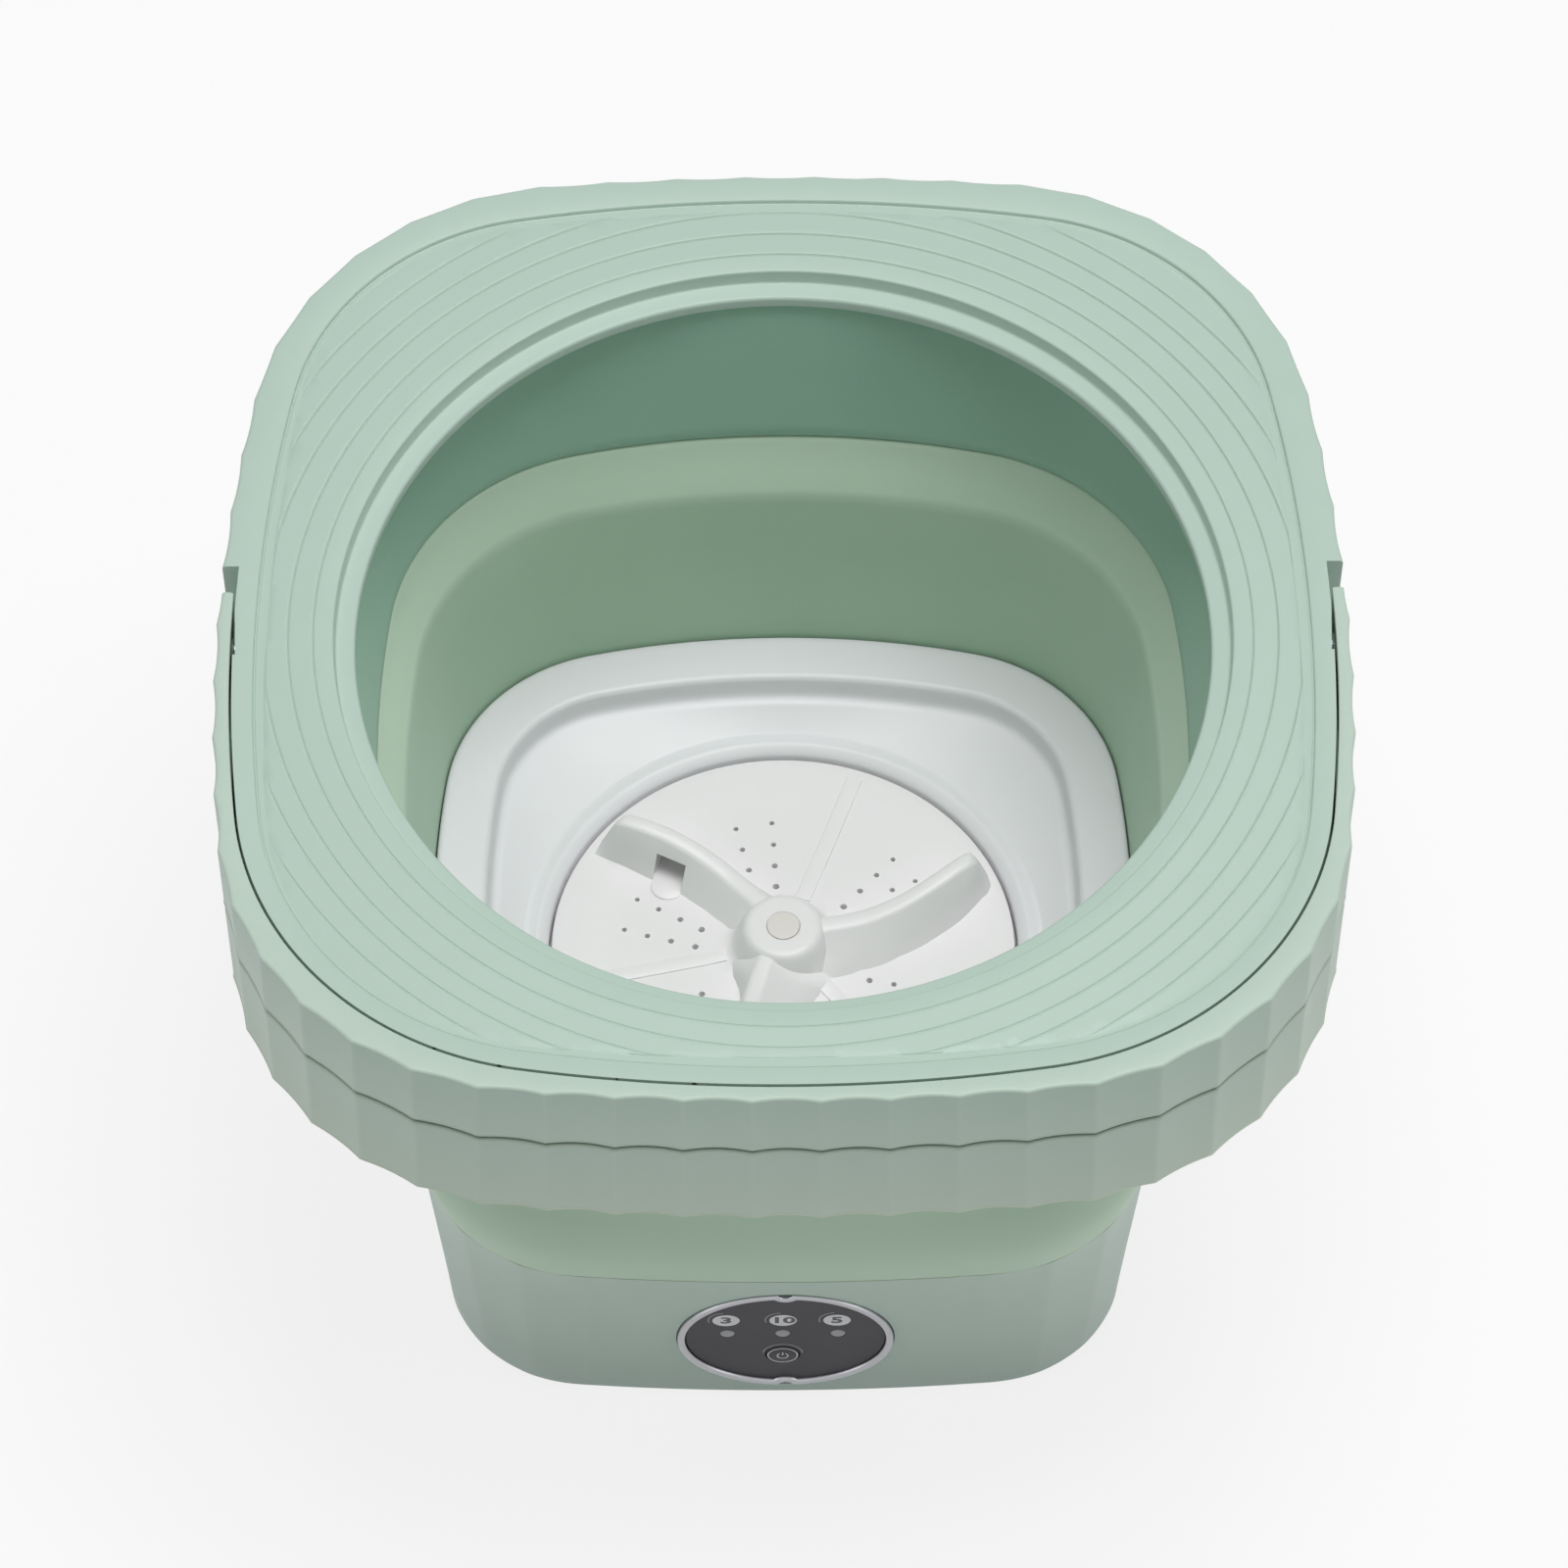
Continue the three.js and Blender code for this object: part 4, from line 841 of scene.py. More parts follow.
@dataclass(frozen=True)
class Metal:
    """Metal with fine drawn marks."""

    name: str
    colour: str
    shade: str
    roughness: float = 0.3
    stretch: Triple = (1, 1, 14)

    def make(self) -> Material:
        """Build the material.

        Returns:
            The material.
        """
        graph = Graph(bpy.data.materials.new(self.name))
        marks = graph.noise(420, 3, self.stretch)
        base = graph.blend(marks, linear(self.shade), linear(self.colour))
        rough = self.roughness + (marks - 0.5) * 0.2
        skin = graph.bump(marks, 0.01)
        return graph.finish(skin, Base_Color=base, Roughness=rough, Metallic=1.0)


@dataclass(frozen=True)
class Print:
    """Printed ink or a frosted lens: even colour with a faint mottle."""

    name: str
    colour: str
    shade: str
    roughness: float = 0.35

    def make(self) -> Material:
        """Build the material.

        Returns:
            The material.
        """
        graph = Graph(bpy.data.materials.new(self.name))
        mottle = graph.noise(700, 2)
        base = graph.blend(mottle, linear(self.shade), linear(self.colour))
        rough = self.roughness + (graph.noise(300, 2) - 0.5) * 0.08
        return graph.finish(graph.bump(mottle, 0.004), Base_Color=base, Roughness=rough)


@dataclass(frozen=True)
class Laminate:
    """Circuit board: green lacquer over a fine glass weave."""

    name: str
    colour: str
    shade: str

    def make(self) -> Material:
        """Build the material.

        Returns:
            The material.
        """
        graph = Graph(bpy.data.materials.new(self.name))
        weave = graph.wire(
            "ShaderNodeTexWave", {"wave_type": "BANDS"}, {"Vector": graph.place(), "Scale": 300.0}
        )
        base = graph.blend(weave * graph.noise(200, 2), linear(self.shade), linear(self.colour))
        return graph.finish(graph.bump(weave, 0.01), Base_Color=base, Roughness=0.35 + weave * 0.05)


def material_of(finish: Moulded | Elastomer | Metal | Print | Laminate) -> Material:
    """A field that holds a finish's material, built with its class."""
    return field(default_factory=finish.make)


@dataclass(frozen=True)
class Finishes:
    """Every finish of the machine, built once."""

    shell: Material = material_of(Moulded("shell_green", "b4c9be", "afc4b8", 0.42))
    skirt: Material = material_of(Moulded("skirt_green", "b4c8bd", "aec3b7", 0.42))
    # A lighter copy of the shell's green, painted as extra light on the base housing.
    base: Material = material_of(Moulded("base_green_painted_light", "bccfc5", "b6cabf", 0.44))
    soft: Material = material_of(Elastomer("soft_green", "b0ccb3", "a7c5ac"))
    # A darker, bluer copy of the soft green, painted as the shade on the upper wall under the rim.
    soft_painted_shade: Material = material_of(Elastomer("soft_green_painted_shade", "9cc3ae", "92baa4"))
    white: Material = material_of(Moulded("white_plastic", "ece8ea", "e9e5e8", 0.38, 0.006, 0.006, 0.4))
    basin: Material = material_of(Moulded("basin_white", "e3e2e5", "e0dfe3", 0.38, 0.006, 0.006, 0.4))
    cap: Material = material_of(Moulded("cap_white", "e2dbd9", "dfd7d6", 0.4))
    panel: Material = material_of(Moulded("panel_grey", "37343b", "312f36", 0.4, 0.01, 0.01, 0.25))
    button: Material = material_of(Moulded("button_grey", "39373e", "333138", 0.42, 0.01, 0.01, 0.25))
    bezel: Material = material_of(Metal("bezel_silver", "b3b4b7", "a8a8ac", 0.34, (1, 1, 1)))
    lamp: Material = material_of(Print("lamp_grey", "a2a2a4", "98989b"))
    ink: Material = material_of(Print("ink_white", "dededf", "d4d4d6"))
    dark_ink: Material = material_of(Print("ink_dark", "3b3a3f", "343338"))
    steel: Material = material_of(Metal("steel", "c6c9cc", "b4b8bc"))
    brass: Material = material_of(Metal("brass", "c3a560", "b29450"))
    rubber: Material = material_of(Elastomer("black_rubber", "26262a", "1d1d20", 0.6, 0.05))
    black: Material = material_of(Moulded("black_plastic", "252528", "1f1f22", 0.4))
    board: Material = material_of(Laminate("board_green", "2f6f48", "265c3b"))
    natural: Material = material_of(Moulded("natural_plastic", "ebe5d6", "e4ddcc", 0.4))


# Pieces


@dataclass
class Rim:
    """The fluted rim: cover, carry handle and skirt share one outline with draft and flutes."""

    finish: Finishes
    flutes: Flutes = Flutes()
    top: float = height_of(top_of, "rim_cover")
    cover_foot: float = height_of(foot_of, "rim_cover")
    skirt_top: float = height_of(top_of, "rim_skirt")
    skirt_foot: float = height_of(foot_of, "rim_skirt")
    handle_foot: float = height_of(foot_of, "carry_handle")
    draft: float = math.tan(math.radians(3.9))
    seat_step: float = 1.2
    mouth: float = 123.2
    recess: float = 128.9
    recess_slope: float = 0.6
    ledge_drop: float = 6.0
    lip_drop: float = 4.5
    plate: float = 2.4
    wall: float = 2.6
    ring_wall: float = 6.2
    handle_gap: float = 0.7
    pivot: Pair = (5.5, 228.0)
    handle_end: float = 17.2
    notch_end: float = 25.7
    ear: float = 13.7
    handle_lift: float = 0.35
    pocket: float = 157.8
    pocket_front: float = -5.2
    ripples: tuple[float, ...] = (135.6, 142.8, 150.2, 156.8, 164.1, 171.5)
    ripple_height: float = 0.42
    # Share of painted highlight along the flute ridges.
    ridge_light: float = 0.12
    ear_taper: Triple = (0.82, 0.82, 0.955)
    fine: int = 20001

    def __post_init__(self) -> None:
        """Work out the places round the rim that all its rings share."""
        shares = self.flutes.shares()
        self.pitch = RIM_OUTLINE.length() / self.flutes.count
        self.points, self.normals = RIM_OUTLINE.at(shares * self.pitch)
        self.turns = np.arctan2(self.points[:, 1], self.points[:, 0])
        self.dips = self.flutes.dip(shares, self.points[:, 1])
        self.crests = self.flutes.crest(shares)
        self.seat_top = self.top - self.seat_step

    def fluted(self, grow: float, z: float) -> np.ndarray:
        """A ring on the fluted outside, at a distance out and a height."""
        out = grow - (self.top - z) * self.draft - self.dips
        return level_ring(self.points + self.normals * out[:, None], z)

    def smooth(self, grow: float, z: float) -> np.ndarray:
        """A ring inside the fluted wall, without flutes."""
        out = grow - (self.top - z) * self.draft - self.flutes.depth
        return level_ring(self.points + self.normals * out, z)

    def lights(
        self, rings: np.ndarray, crests: np.ndarray, *bands: Triple
    ) -> np.ndarray:
        """How much each point takes of the finish's pale colour, painted as a highlight.

        Args:
            rings: The points.
            crests: How near they are to a ridge.
            bands: Height, half width and share of each band of painted highlight.

        Returns:
            The share at each point.
        """
        z = rings[..., 2]
        share = np.broadcast_to(crests * self.ridge_light, z.shape).copy()
        for height, half, strength in bands:
            share = np.maximum(share, strength * np.clip(1 - np.abs(z - height) / half, 0, 1))
        return share

    def seat(self, grow: float, z: float) -> np.ndarray:
        """A ring on the outline of the lid seat."""
        return level_ring(SEAT_OUTLINE.polar(self.turns, grow), z)

    def round(self, radius: float, z: float) -> np.ndarray:
        """A round ring."""
        return circle_ring(self.turns, radius, z)

    def ripple_rings(self) -> list[np.ndarray]:
        """The top plate's rings: low ripples round the mouth, cut short by the seat's border.

        Returns:
            The rings, from the recess outwards.
        """
        profile = []
        for k, radius in enumerate(self.ripples):
            high = self.ripple_height
            following = self.ripples[k + 1] if k + 1 < len(self.ripples) else radius + 7.4
            profile += [
                (radius - 0.62, 0.02 * high),
                (radius - 0.4, -0.5 * high),
                (radius - 0.16, 0.0),
                (radius, 0.84 * high),
                (radius + 0.22, high),
                (radius + 0.9, 0.93 * high),
                ((radius + following) / 2, 0.42 * high),
            ]
        border = np.hypot(*SEAT_OUTLINE.polar(self.turns, -1.0).T)
        rings = []
        for k, (radius, height) in enumerate(profile):
            limit = border - 0.1 * (len(profile) - k)
            reach = np.minimum(radius, limit)
            fade = np.clip((border - radius) / 4, 0, 1)
            rings.append(circle_ring(self.turns, reach, self.seat_top + height * fade))
        return rings

    def cover_shell(self) -> Object:
        """The cover's skin, over the whole rim.

        Returns:
            The skin as a solid.
        """
        mouth, recess, top, foot = self.mouth, self.recess, self.top, self.cover_foot
        ledge = top - self.ledge_drop
        lip = ledge - self.lip_drop
        edge = recess + self.recess_slope
        plate_top = self.seat_top
        rings = trace(self.round, fillet((mouth, lip), (mouth + 1, lip), (mouth, lip + 1)))
        for corner, start, end, steps in (
            ((mouth, ledge), (mouth, ledge - 1.1), (mouth + 1.1, ledge), 4),
            ((recess, ledge), (recess - 0.6, ledge), (recess + 0.07, ledge + 0.6), 3),
            ((edge, plate_top), (edge - 0.07, plate_top - 0.6), (edge + 0.6, plate_top), 4),
        ):
            rings += trace(self.round, fillet(corner, start, end, steps))
        rings += self.ripple_rings()
        border = ((-0.75, 0), (-0.45, -0.22), (-0.15, -0.15), (0, 0.25))
        rings += trace(self.seat, border, plate_top)
        rings += trace(self.seat, fillet((0.05, top), (0.05, top - 0.6), (0.65, top), 3))
        rings += trace(self.fluted, fillet((0, top), (-1.1, top), (0, top - 1.1), 5))
        rings += trace(self.fluted, fillet((0, foot), (0, foot + 0.45), (-0.45, foot), 3))
        under = plate_top - self.plate
        ledge_under = ledge - self.plate
        rings += trace(self.smooth, ((-self.wall, foot), (-self.wall, under)))
        inside = [(recess + self.plate, under), (recess + self.plate, ledge_under)]
        inside += [(mouth + 2, ledge_under), (mouth + 2, lip + 0.4), (mouth + 1.6, lip)]
        rings += trace(self.round, inside)
        return loft("rim_shell", np.array(rings), closed=True)

    def seat_wall(
        self, name: str, inner: float, outer: float, low: float, high: float, end: float
    ) -> Object:
        """A wall along the front part of the seat's outline.

        Args:
            name: Name of the wall.
            inner: Growth of its inner face from the outline.
            outer: Growth of its outer face.
            low: Height of its foot.
            high: Height of its top.
            end: How far back it reaches.

        Returns:
            The wall.
        """
        rings = trace(self.seat, ((outer, low), (outer, high), (inner, high), (inner, low)))
        return keep_side(loft(name, np.array(rings), closed=True), (0, end, 0), (0, 1, 0))

    def end_wall(self, side: int) -> Object:
        """The wall that closes one end of the cover's rear part.

        Args:
            side: -1 for the left end, 1 for the right.

        Returns:
            The wall.
        """
        rings = trace(self.smooth, ((-0.5, self.cover_foot), (-0.5, self.seat_top)))
        inside = loft("end_wall", np.array(rings))
        keep_side(inside, (0, self.notch_end, 0), (0, -1, 0))
        keep_side(inside, (0, self.notch_end + self.plate, 0), (0, 1, 0))
        return keep_side(inside, (side * (self.pocket - 0.6), 0, 0), (-side, 0, 0))

    def boss(self, side: int, inner: float, outer: float) -> Object:
        """A round boss across the machine, on the handle's pivot.

        Args:
            side: -1 for the left side, 1 for the right.
            inner: Distance of its inner end from the middle.
            outer: Distance of its outer end.

        Returns:
            The boss.
        """
        boss = lathe("boss", [(0, inner), (4, inner), (4, outer), (0, outer)], 40)
        turn = Matrix.Rotation(side * math.pi / 2, 4, "Y")
        boss.data.transform(Matrix.Translation((0, self.pivot[0] * MM, self.pivot[1] * MM)) @ turn)
        return boss

    def cover(self) -> Object:
        """The rim cover, with the room for the handle cut from its front.

        Returns:
            The piece.
        """
        cover = self.cover_shell()
        foot, top, end = self.cover_foot, self.top, self.notch_end
        inner, outer = self.ring_wall - self.plate, self.ring_wall + self.plate
        wall = self.seat_wall("cover_wall", inner, outer, foot, top - 1, end + self.plate)
        combine(cover, Join.ADD, wall, self.end_wall(-1), self.end_wall(1))
        low, high = foot - 5, top + 5
        room = self.seat_wall("handle_room", self.ring_wall, self.ring_wall + 30, low, high, end)
        combine(cover, Join.CUT, room)
        behind, above = self.pivot[0] - self.ear - 1, self.pivot[1] + 1.5
        for side in (-1, 1):
            near, far = sorted((side * self.pocket, side * (self.pocket + 20)))
            pocket = block("pocket", (near, self.pocket_front, low), (far, end, high))
            sweep = block("sweep", (near, behind, low), (far, self.pocket_front + 1, above))
            combine(cover, Join.CUT, pocket, sweep)
            combine(cover, Join.ADD, self.boss(side, self.pocket - 6, self.pocket - UNDERLAP))
        settle(cover, FLUTED)
        cover.name = cover.data.name = "rim_cover_skin"
        return put(cover, self.finish.shell, Body.RIM, Slot.SHELL, "rim_cover")

    def skirt(self) -> Object:
        """The fluted band under the handle, with a soft shoulder and a beaded lower edge.

        Returns:
            The piece.
        """
        top, foot = self.skirt_top, self.skirt_foot
        crest = top - 1.1
        inside = top - self.wall
        shoulder = [(-1.2, crest - 0.5), (-1.05, crest - 0.12), (-0.85, crest)]
        shoulder += fillet((0.12, crest), (-0.7, crest - 0.03), (0.02, crest - 1.9), 6)
        bead = ((0, 0.62), (0.05, 0.5), (0.22, 0.36), (0.24, 0.2), (0.16, 0.05), (-0.05, 0), (-0.5, 0))
        rings = trace(self.fluted, shoulder) + trace(self.fluted, bead, foot)
        rings += trace(self.smooth, ((-self.wall, foot), (-self.wall, inside)))
        rings += trace(self.seat, ((1, inside), (1, top)))
        groove = ((-4.2, top), (-4.0, top - 0.5), (-3.6, crest - 0.9), (-1.6, crest - 0.9))
        rings = np.array(rings + trace(self.fluted, groove))
        # Painted highlight on the flute ridges, along the shoulder under the handle and on the lower bead.
        light = self.lights(rings, self.crests, (crest - 0.2, 1.7, 0.35), (foot + 0.35, 0.5, 0.9))
        skirt = loft("rim_skirt_skin", rings, closed=True, angle=FLUTED, tint=light)
        return put(skirt, self.finish.skirt, Body.RIM, Slot.SKIRT, "rim_skirt")

    def handle_section(self, travel: float) -> np.ndarray:
        """The handle's cross section at a distance along the rim.

        Args:
            travel: Distance from the middle of the front.

        Returns:
            The section's points.
        """
        point, normal = (a[0] for a in RIM_OUTLINE.at(np.array([travel])))
        dip = float(self.flutes.dip(np.array([travel / self.pitch]), np.array([point[1]]))[0])
        turn = np.array([math.atan2(point[1], point[0])])
        inner = SEAT_OUTLINE.polar(turn, self.ring_wall + self.handle_gap)[0]
        behind = point[1] - self.pivot[0]
        low = self.handle_foot
        if behind > 0:
            low = self.pivot[1] - math.sqrt(self.ear**2 - min(behind, self.ear) ** 2)
        outside = fillet((0, self.top), (-1.1, self.top), (0, self.top - 1.1), 5)
        lift = low + self.handle_lift
        bead = ((0, 0.6), (0.14, 0.44), (0.16, 0.28), (0.06, 0.1), (-0.2, 0), (-0.7, 0))
        outside += [(g, lift + z) for g, z in bead]
        section = []
        for grow, z in outside:
            out = point + normal * (grow - dip - (self.top - z) * self.draft)
            section.append((*out, z))
        across = (point - inner) / np.hypot(*(point - inner))
        inside = fillet((0, lift), (0.4, lift), (0, lift + 0.4), 2)
        inside += fillet((0, self.top), (0, self.top - 0.5), (0.5, self.top), 3)
        section += [(*(inner + across * g), z) for g, z in inside]
        return np.array(section)

    def handle(self) -> Object:
        """The carry handle: one section led along the front of the rim, with rounded ears.

        Returns:
            The piece.
        """
        dense = np.linspace(0, RIM_OUTLINE.length() / 2, self.fine)
        end = float(np.interp(self.handle_end, RIM_OUTLINE.at(dense)[0][:, 1], dense))
        shares = self.flutes.shares()
        around = np.sort(np.concatenate([shares, shares - self.flutes.count])) * self.pitch
        places = np.array([-end, -end + 0.5, *around[np.abs(around) < end - 0.8], end - 0.5, end])
        rings = [self.handle_section(place) for place in places]
        for k in (0, -1):
            middle = rings[k].mean(axis=0)
            shrunk = middle + (rings[k] - middle) * np.array(self.ear_taper)
            shrunk[:, 1] = rings[k][:, 1]
            rings[k] = shrunk
        rings = np.array(rings)
        # Painted highlight on the flute ridges, along the lower lip and along the top edge.
        crests = self.flutes.crest(places / self.pitch)[:, None]
        lip = self.handle_foot + self.handle_lift + 0.3
        light = self.lights(rings, crests, (lip, 0.35, 0.7), (self.top - 0.3, 0.8, 0.2))
        handle = loft("carry_handle_skin", rings, tint=light)
        for side in (-1, 1):
            combine(handle, Join.ADD, self.boss(side, self.pocket + 0.3, self.pocket + 3.4))
        settle(handle, FLUTED)
        return put(handle, self.finish.shell, Body.HANDLE, Slot.SHELL, "carry_handle")

    def build(self) -> None:
        """Build and dress the rim's pieces."""
        self.cover()
        self.skirt()
        self.handle()


@dataclass
class SoftTub:
    """The soft tub: an upper wall that hangs in the rim and a lower wall shaped with a fold."""

    finish: Finishes
    count: int = 264
    wall: float = 2.6
    upper_foot: float = height_of(foot_of, "tub_upper_wall")
    upper_top: float = height_of(top_of, "tub_upper_wall")
    lower_foot: float = height_of(foot_of, "tub_lower_wall")
    lower_top: float = height_of(top_of, "tub_lower_wall")
    basin_top: float = height_of(top_of, "basin")
    travel: float = 95.0

    def __post_init__(self) -> None:
        """Work out the places round the tub and round the edge of the base."""
        self.points, self.normals = TUB_OUTLINE.walk(self.count)
        edge, aside = BASE_OUTLINE.walk(self.count)
        base_top = top_of("base_housing")
        self.edge_grow = (base_top - foot_of("base_housing")) * math.tan(BASE_SLOPE)
        self.edge, self.aside = edge + aside * self.edge_grow, aside

    def ring(self, grow: float, z: float) -> np.ndarray:
        """A ring grown outwards from the basin's outline."""
        return level_ring(self.points + self.normals * grow, z)

    def between(self, out: float, z: float, share: float) -> np.ndarray:
        """A ring part of the way from the edge of the base to the basin's outline.

        Args:
            out: Distance out from the edge of the base.
            z: Height.
            share: 0 on the outline of the base's edge, 1 on the basin's outline.

        Returns:
            The ring.
        """
        near = self.edge + self.aside * out
        grow = BASE_OUTLINE.front - TUB_OUTLINE.front + self.edge_grow + out
        far = self.points + self.normals * grow
        return level_ring(near + (far - near) * share, z)

    def upper(self) -> Object:
        """The upper wall with its clamped flange.

        Returns:
            The piece.
        """
        foot, top = self.upper_foot, self.upper_top
        inner = [(15.5, foot + 0.8), (16.3, foot + 5), (19.4, foot + 25), (22.5, top - 9.4)]
        inner += [(23.4, top - 5), (24.6, top - 1.4), (25.5, top)]
        outer = [(42, top), (42, top - 2.4), (28.6, top - 2.4), (26.2, top - 5.6), (25.1, top - 9.4)]
        outer += [(22.0, foot + 25), (18.9, foot + 5), (18.1, foot + 0.6), (17.4, foot), (16.1, foot)]
        rings = np.array(trace(self.ring, inner + outer))
        tub = loft("tub_upper_skin", rings, closed=True, angle=SOFT)
        # The upper wall wears the darker copy of the soft green as painted shade.
        return put(tub, self.finish.soft_painted_shade, Body.RIM, Slot.SOFT, "tub_upper_wall")

    def lower(self) -> Object:
        """The lower wall: a bulge above the base, a hollow, and the wide fold at the top.

        Returns:
            The piece.
        """
        foot, top = self.lower_foot, self.lower_top
        bulge = [(-0.4, -0.18, 0), (-0.15, -0.08, 0), (0.1, 0.6, 0), (0.7, 3.0, 0), (1.5, 6.0, 0)]
        bulge += [(2.3, 9.5, 0), (2.85, 13, 0.01), (3.0, 16.5, 0.03), (2.75, 20, 0.08)]
        bulge += [(2.1, 24, 0.16), (1.1, 28, 0.28)]
        bulge += [(-0.1, 32, 0.42), (-1.2, 36, 0.57), (-2.0, 41, 0.73), (-2.35, 46, 0.87)]
        bulge += [(-2.2, 52, 0.96)]
        outer = [self.between(out, foot + rise, share) for out, rise, share in bulge]
        upper = [(5.8, foot + 58), (7.1, foot + 66), (8.4, foot + 75), (9.6, foot + 83)]
        upper += [(11.2, foot + 90), (13.4, foot + 96), (16.2, foot + 101)]
        upper += [(18.1, top - 1.2), (17.6, top)]
        outer += trace(self.ring, upper)
        fold = [(16.0, 0), (15.5, -0.5), (14.9, -2.2), (13.2, -6), (11.2, -10), (9.3, -13.6)]
        fold += [(8.2, -15.9), (7.5, -18.2), (7.0, -21), (4.6, -38), (2.0, -58)]
        inner = [(0.3, self.basin_top + 3), (0, self.basin_top), (0, foot + 2.6)]
        inner += [(-4, foot + 2.6), (-4, foot)]
        rings = outer + trace(self.ring, fold, top) + trace(self.ring, inner)
        # Painted highlight: half the paler colour on the outside of the bulge and the wall above it, and a
        # band along the top of the fold with a line at its lower edge.
        outside = np.zeros((len(rings), self.count))
        outside[: len(bulge) + 6] = 0.5
        outside[len(outer) :][:9] = np.array([0.8, 1, 1, 1, 0.95, 0.9, 1, 0.5, 0.1])[:, None]
        tub = loft("tub_lower_skin", np.array(rings), closed=True, angle=SOFT, tint=outside)
        put(tub, self.finish.soft, Body.BASE, Slot.SOFT, "tub_lower_wall")
        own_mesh(tub)
        return tub

    def build(self) -> None:
        """Build and dress the two walls."""
        self.upper()
        self.lower()


@dataclass
class Basin:
    """The white basin: a border, a sloping step, a floor, and a well with a raised lip."""

    finish: Finishes
    count: int = 264
    top: float = height_of(top_of, "basin")
    foot_of_posts: float = field(default_factory=lambda: top_of("base_housing") + 0.3)
    shell_foot: float = 74.2
    floor_drop: float = 13.0
    edge_drop: float = 7.2
    well: float = 68.0
    well_drop: float = 9.4
    lip: float = 1.1
    lip_width: float = 5.4
    border: float = 15.2
    wall: float = 2.4
    bore: float = 9.4
    drain: Triple = (60, -60, 4.5)

    def build(self) -> Object:
        """Build and dress the basin.

        Returns:
            The piece.
        """
        points, normals = TUB_OUTLINE.walk(self.count)
        turns = np.arctan2(points[:, 1], points[:, 0])

        def ring(grow: float, z: float) -> np.ndarray:
            """A ring grown outwards from the basin's outline."""
            return level_ring(points + normals * grow, z)

        def round_ring(radius: float, z: float) -> np.ndarray:
            """A round ring."""
            return circle_ring(turns, radius, z)

        top, foot, under = self.top, self.shell_foot, self.top - self.wall
        floor = top - self.floor_drop
        low = top - self.edge_drop
        edge = -self.border
        border = [(-0.4, foot), (-0.4, top - 1.8), (-0.62, top - 0.75), (-1.2, top - 0.15)]
        border += [(-2.2, top), (-3, top), (edge + 2.4, top)]
        border += fillet((edge, top), (edge + 1.7, top), (edge - 0.35, top - 1.5), 6)
        border += [(edge - 0.8, top - 3.6), (edge - 1.2, low + 1.9), (edge - 1.6, low + 0.9)]
        border += [(edge - 2.3, low + 0.25), (edge - 3.4, low - 0.1), (edge - 4.8, low - 0.45)]
        back = [(edge + 0.9, low - self.wall), (edge + 1.6, under), (-2.8, under), (-2.8, foot)]
        rings = trace(ring, border) + trace(round_ring, self.lip_profile(floor)) + trace(ring, back)
        basin = loft("basin_skin", np.array(rings), closed=True, angle=TURNED)
        x, y, r = self.drain
        low, high = floor - 8, floor + 8
        hole = lathe("drain_hole", [(0, low), (r, low), (r, high), (0, high)], 48)
        hole.data.transform(spot(x, y))
        combine(basin, Join.CUT, hole)
        low, high = self.foot_of_posts, top - 1.2
        for k in range(4):
            post = lathe("post", [(0, low), (4, low), (4, high), (0, high)], 32)
            post.data.transform(spot(*middle_of(f"basin_screw_{k + 1}")))
            combine(basin, Join.ADD, post)
        low, high = floor - 12.4, floor + 1.3
        spigot = lathe("spigot", [(6.3, low), (8.7, low), (8.7, high), (6.3, high)], 48, closed=True)
        spigot.data.transform(spot(x, y))
        combine(basin, Join.ADD, spigot)
        settle(basin, TURNED)
        return put(basin, self.finish.basin, Body.BASE, Slot.WHITE, "basin")

    def lip_profile(self, floor: float) -> list[Pair]:
        """Radius and height of the rings over the raised lip, through the well and under it.

        Args:
            floor: Height of the floor.

        Returns:
            The profile.
        """
        outer, well, bore = self.well + self.lip_width, self.well, self.bore
        crest = floor + self.lip
        low = floor - self.well_drop
        under = low - self.wall
        lip = fillet((outer + 0.6, floor), (outer + 2.2, floor + 0.25), (outer - 0.2, floor + 0.55), 4)
        lip += [(outer - 0.9, crest - 0.35), (outer - 1.5, crest - 0.08), (outer - 2.1, crest)]
        lip += [(outer - 2.8, crest - 0.25), (outer - 3.5, crest - 0.6), (outer - 4.3, crest - 1.1)]
        lip += [(outer - 5.0, crest - 1.7), (well, crest - 2.35), (well, low), (bore, low)]
        lip += [(bore, low - 9.6), (bore + 3.6, low - 9.6), (bore + 3.6, under)]
        return lip + [(well + self.wall, under), (well + self.wall, floor - self.wall)]


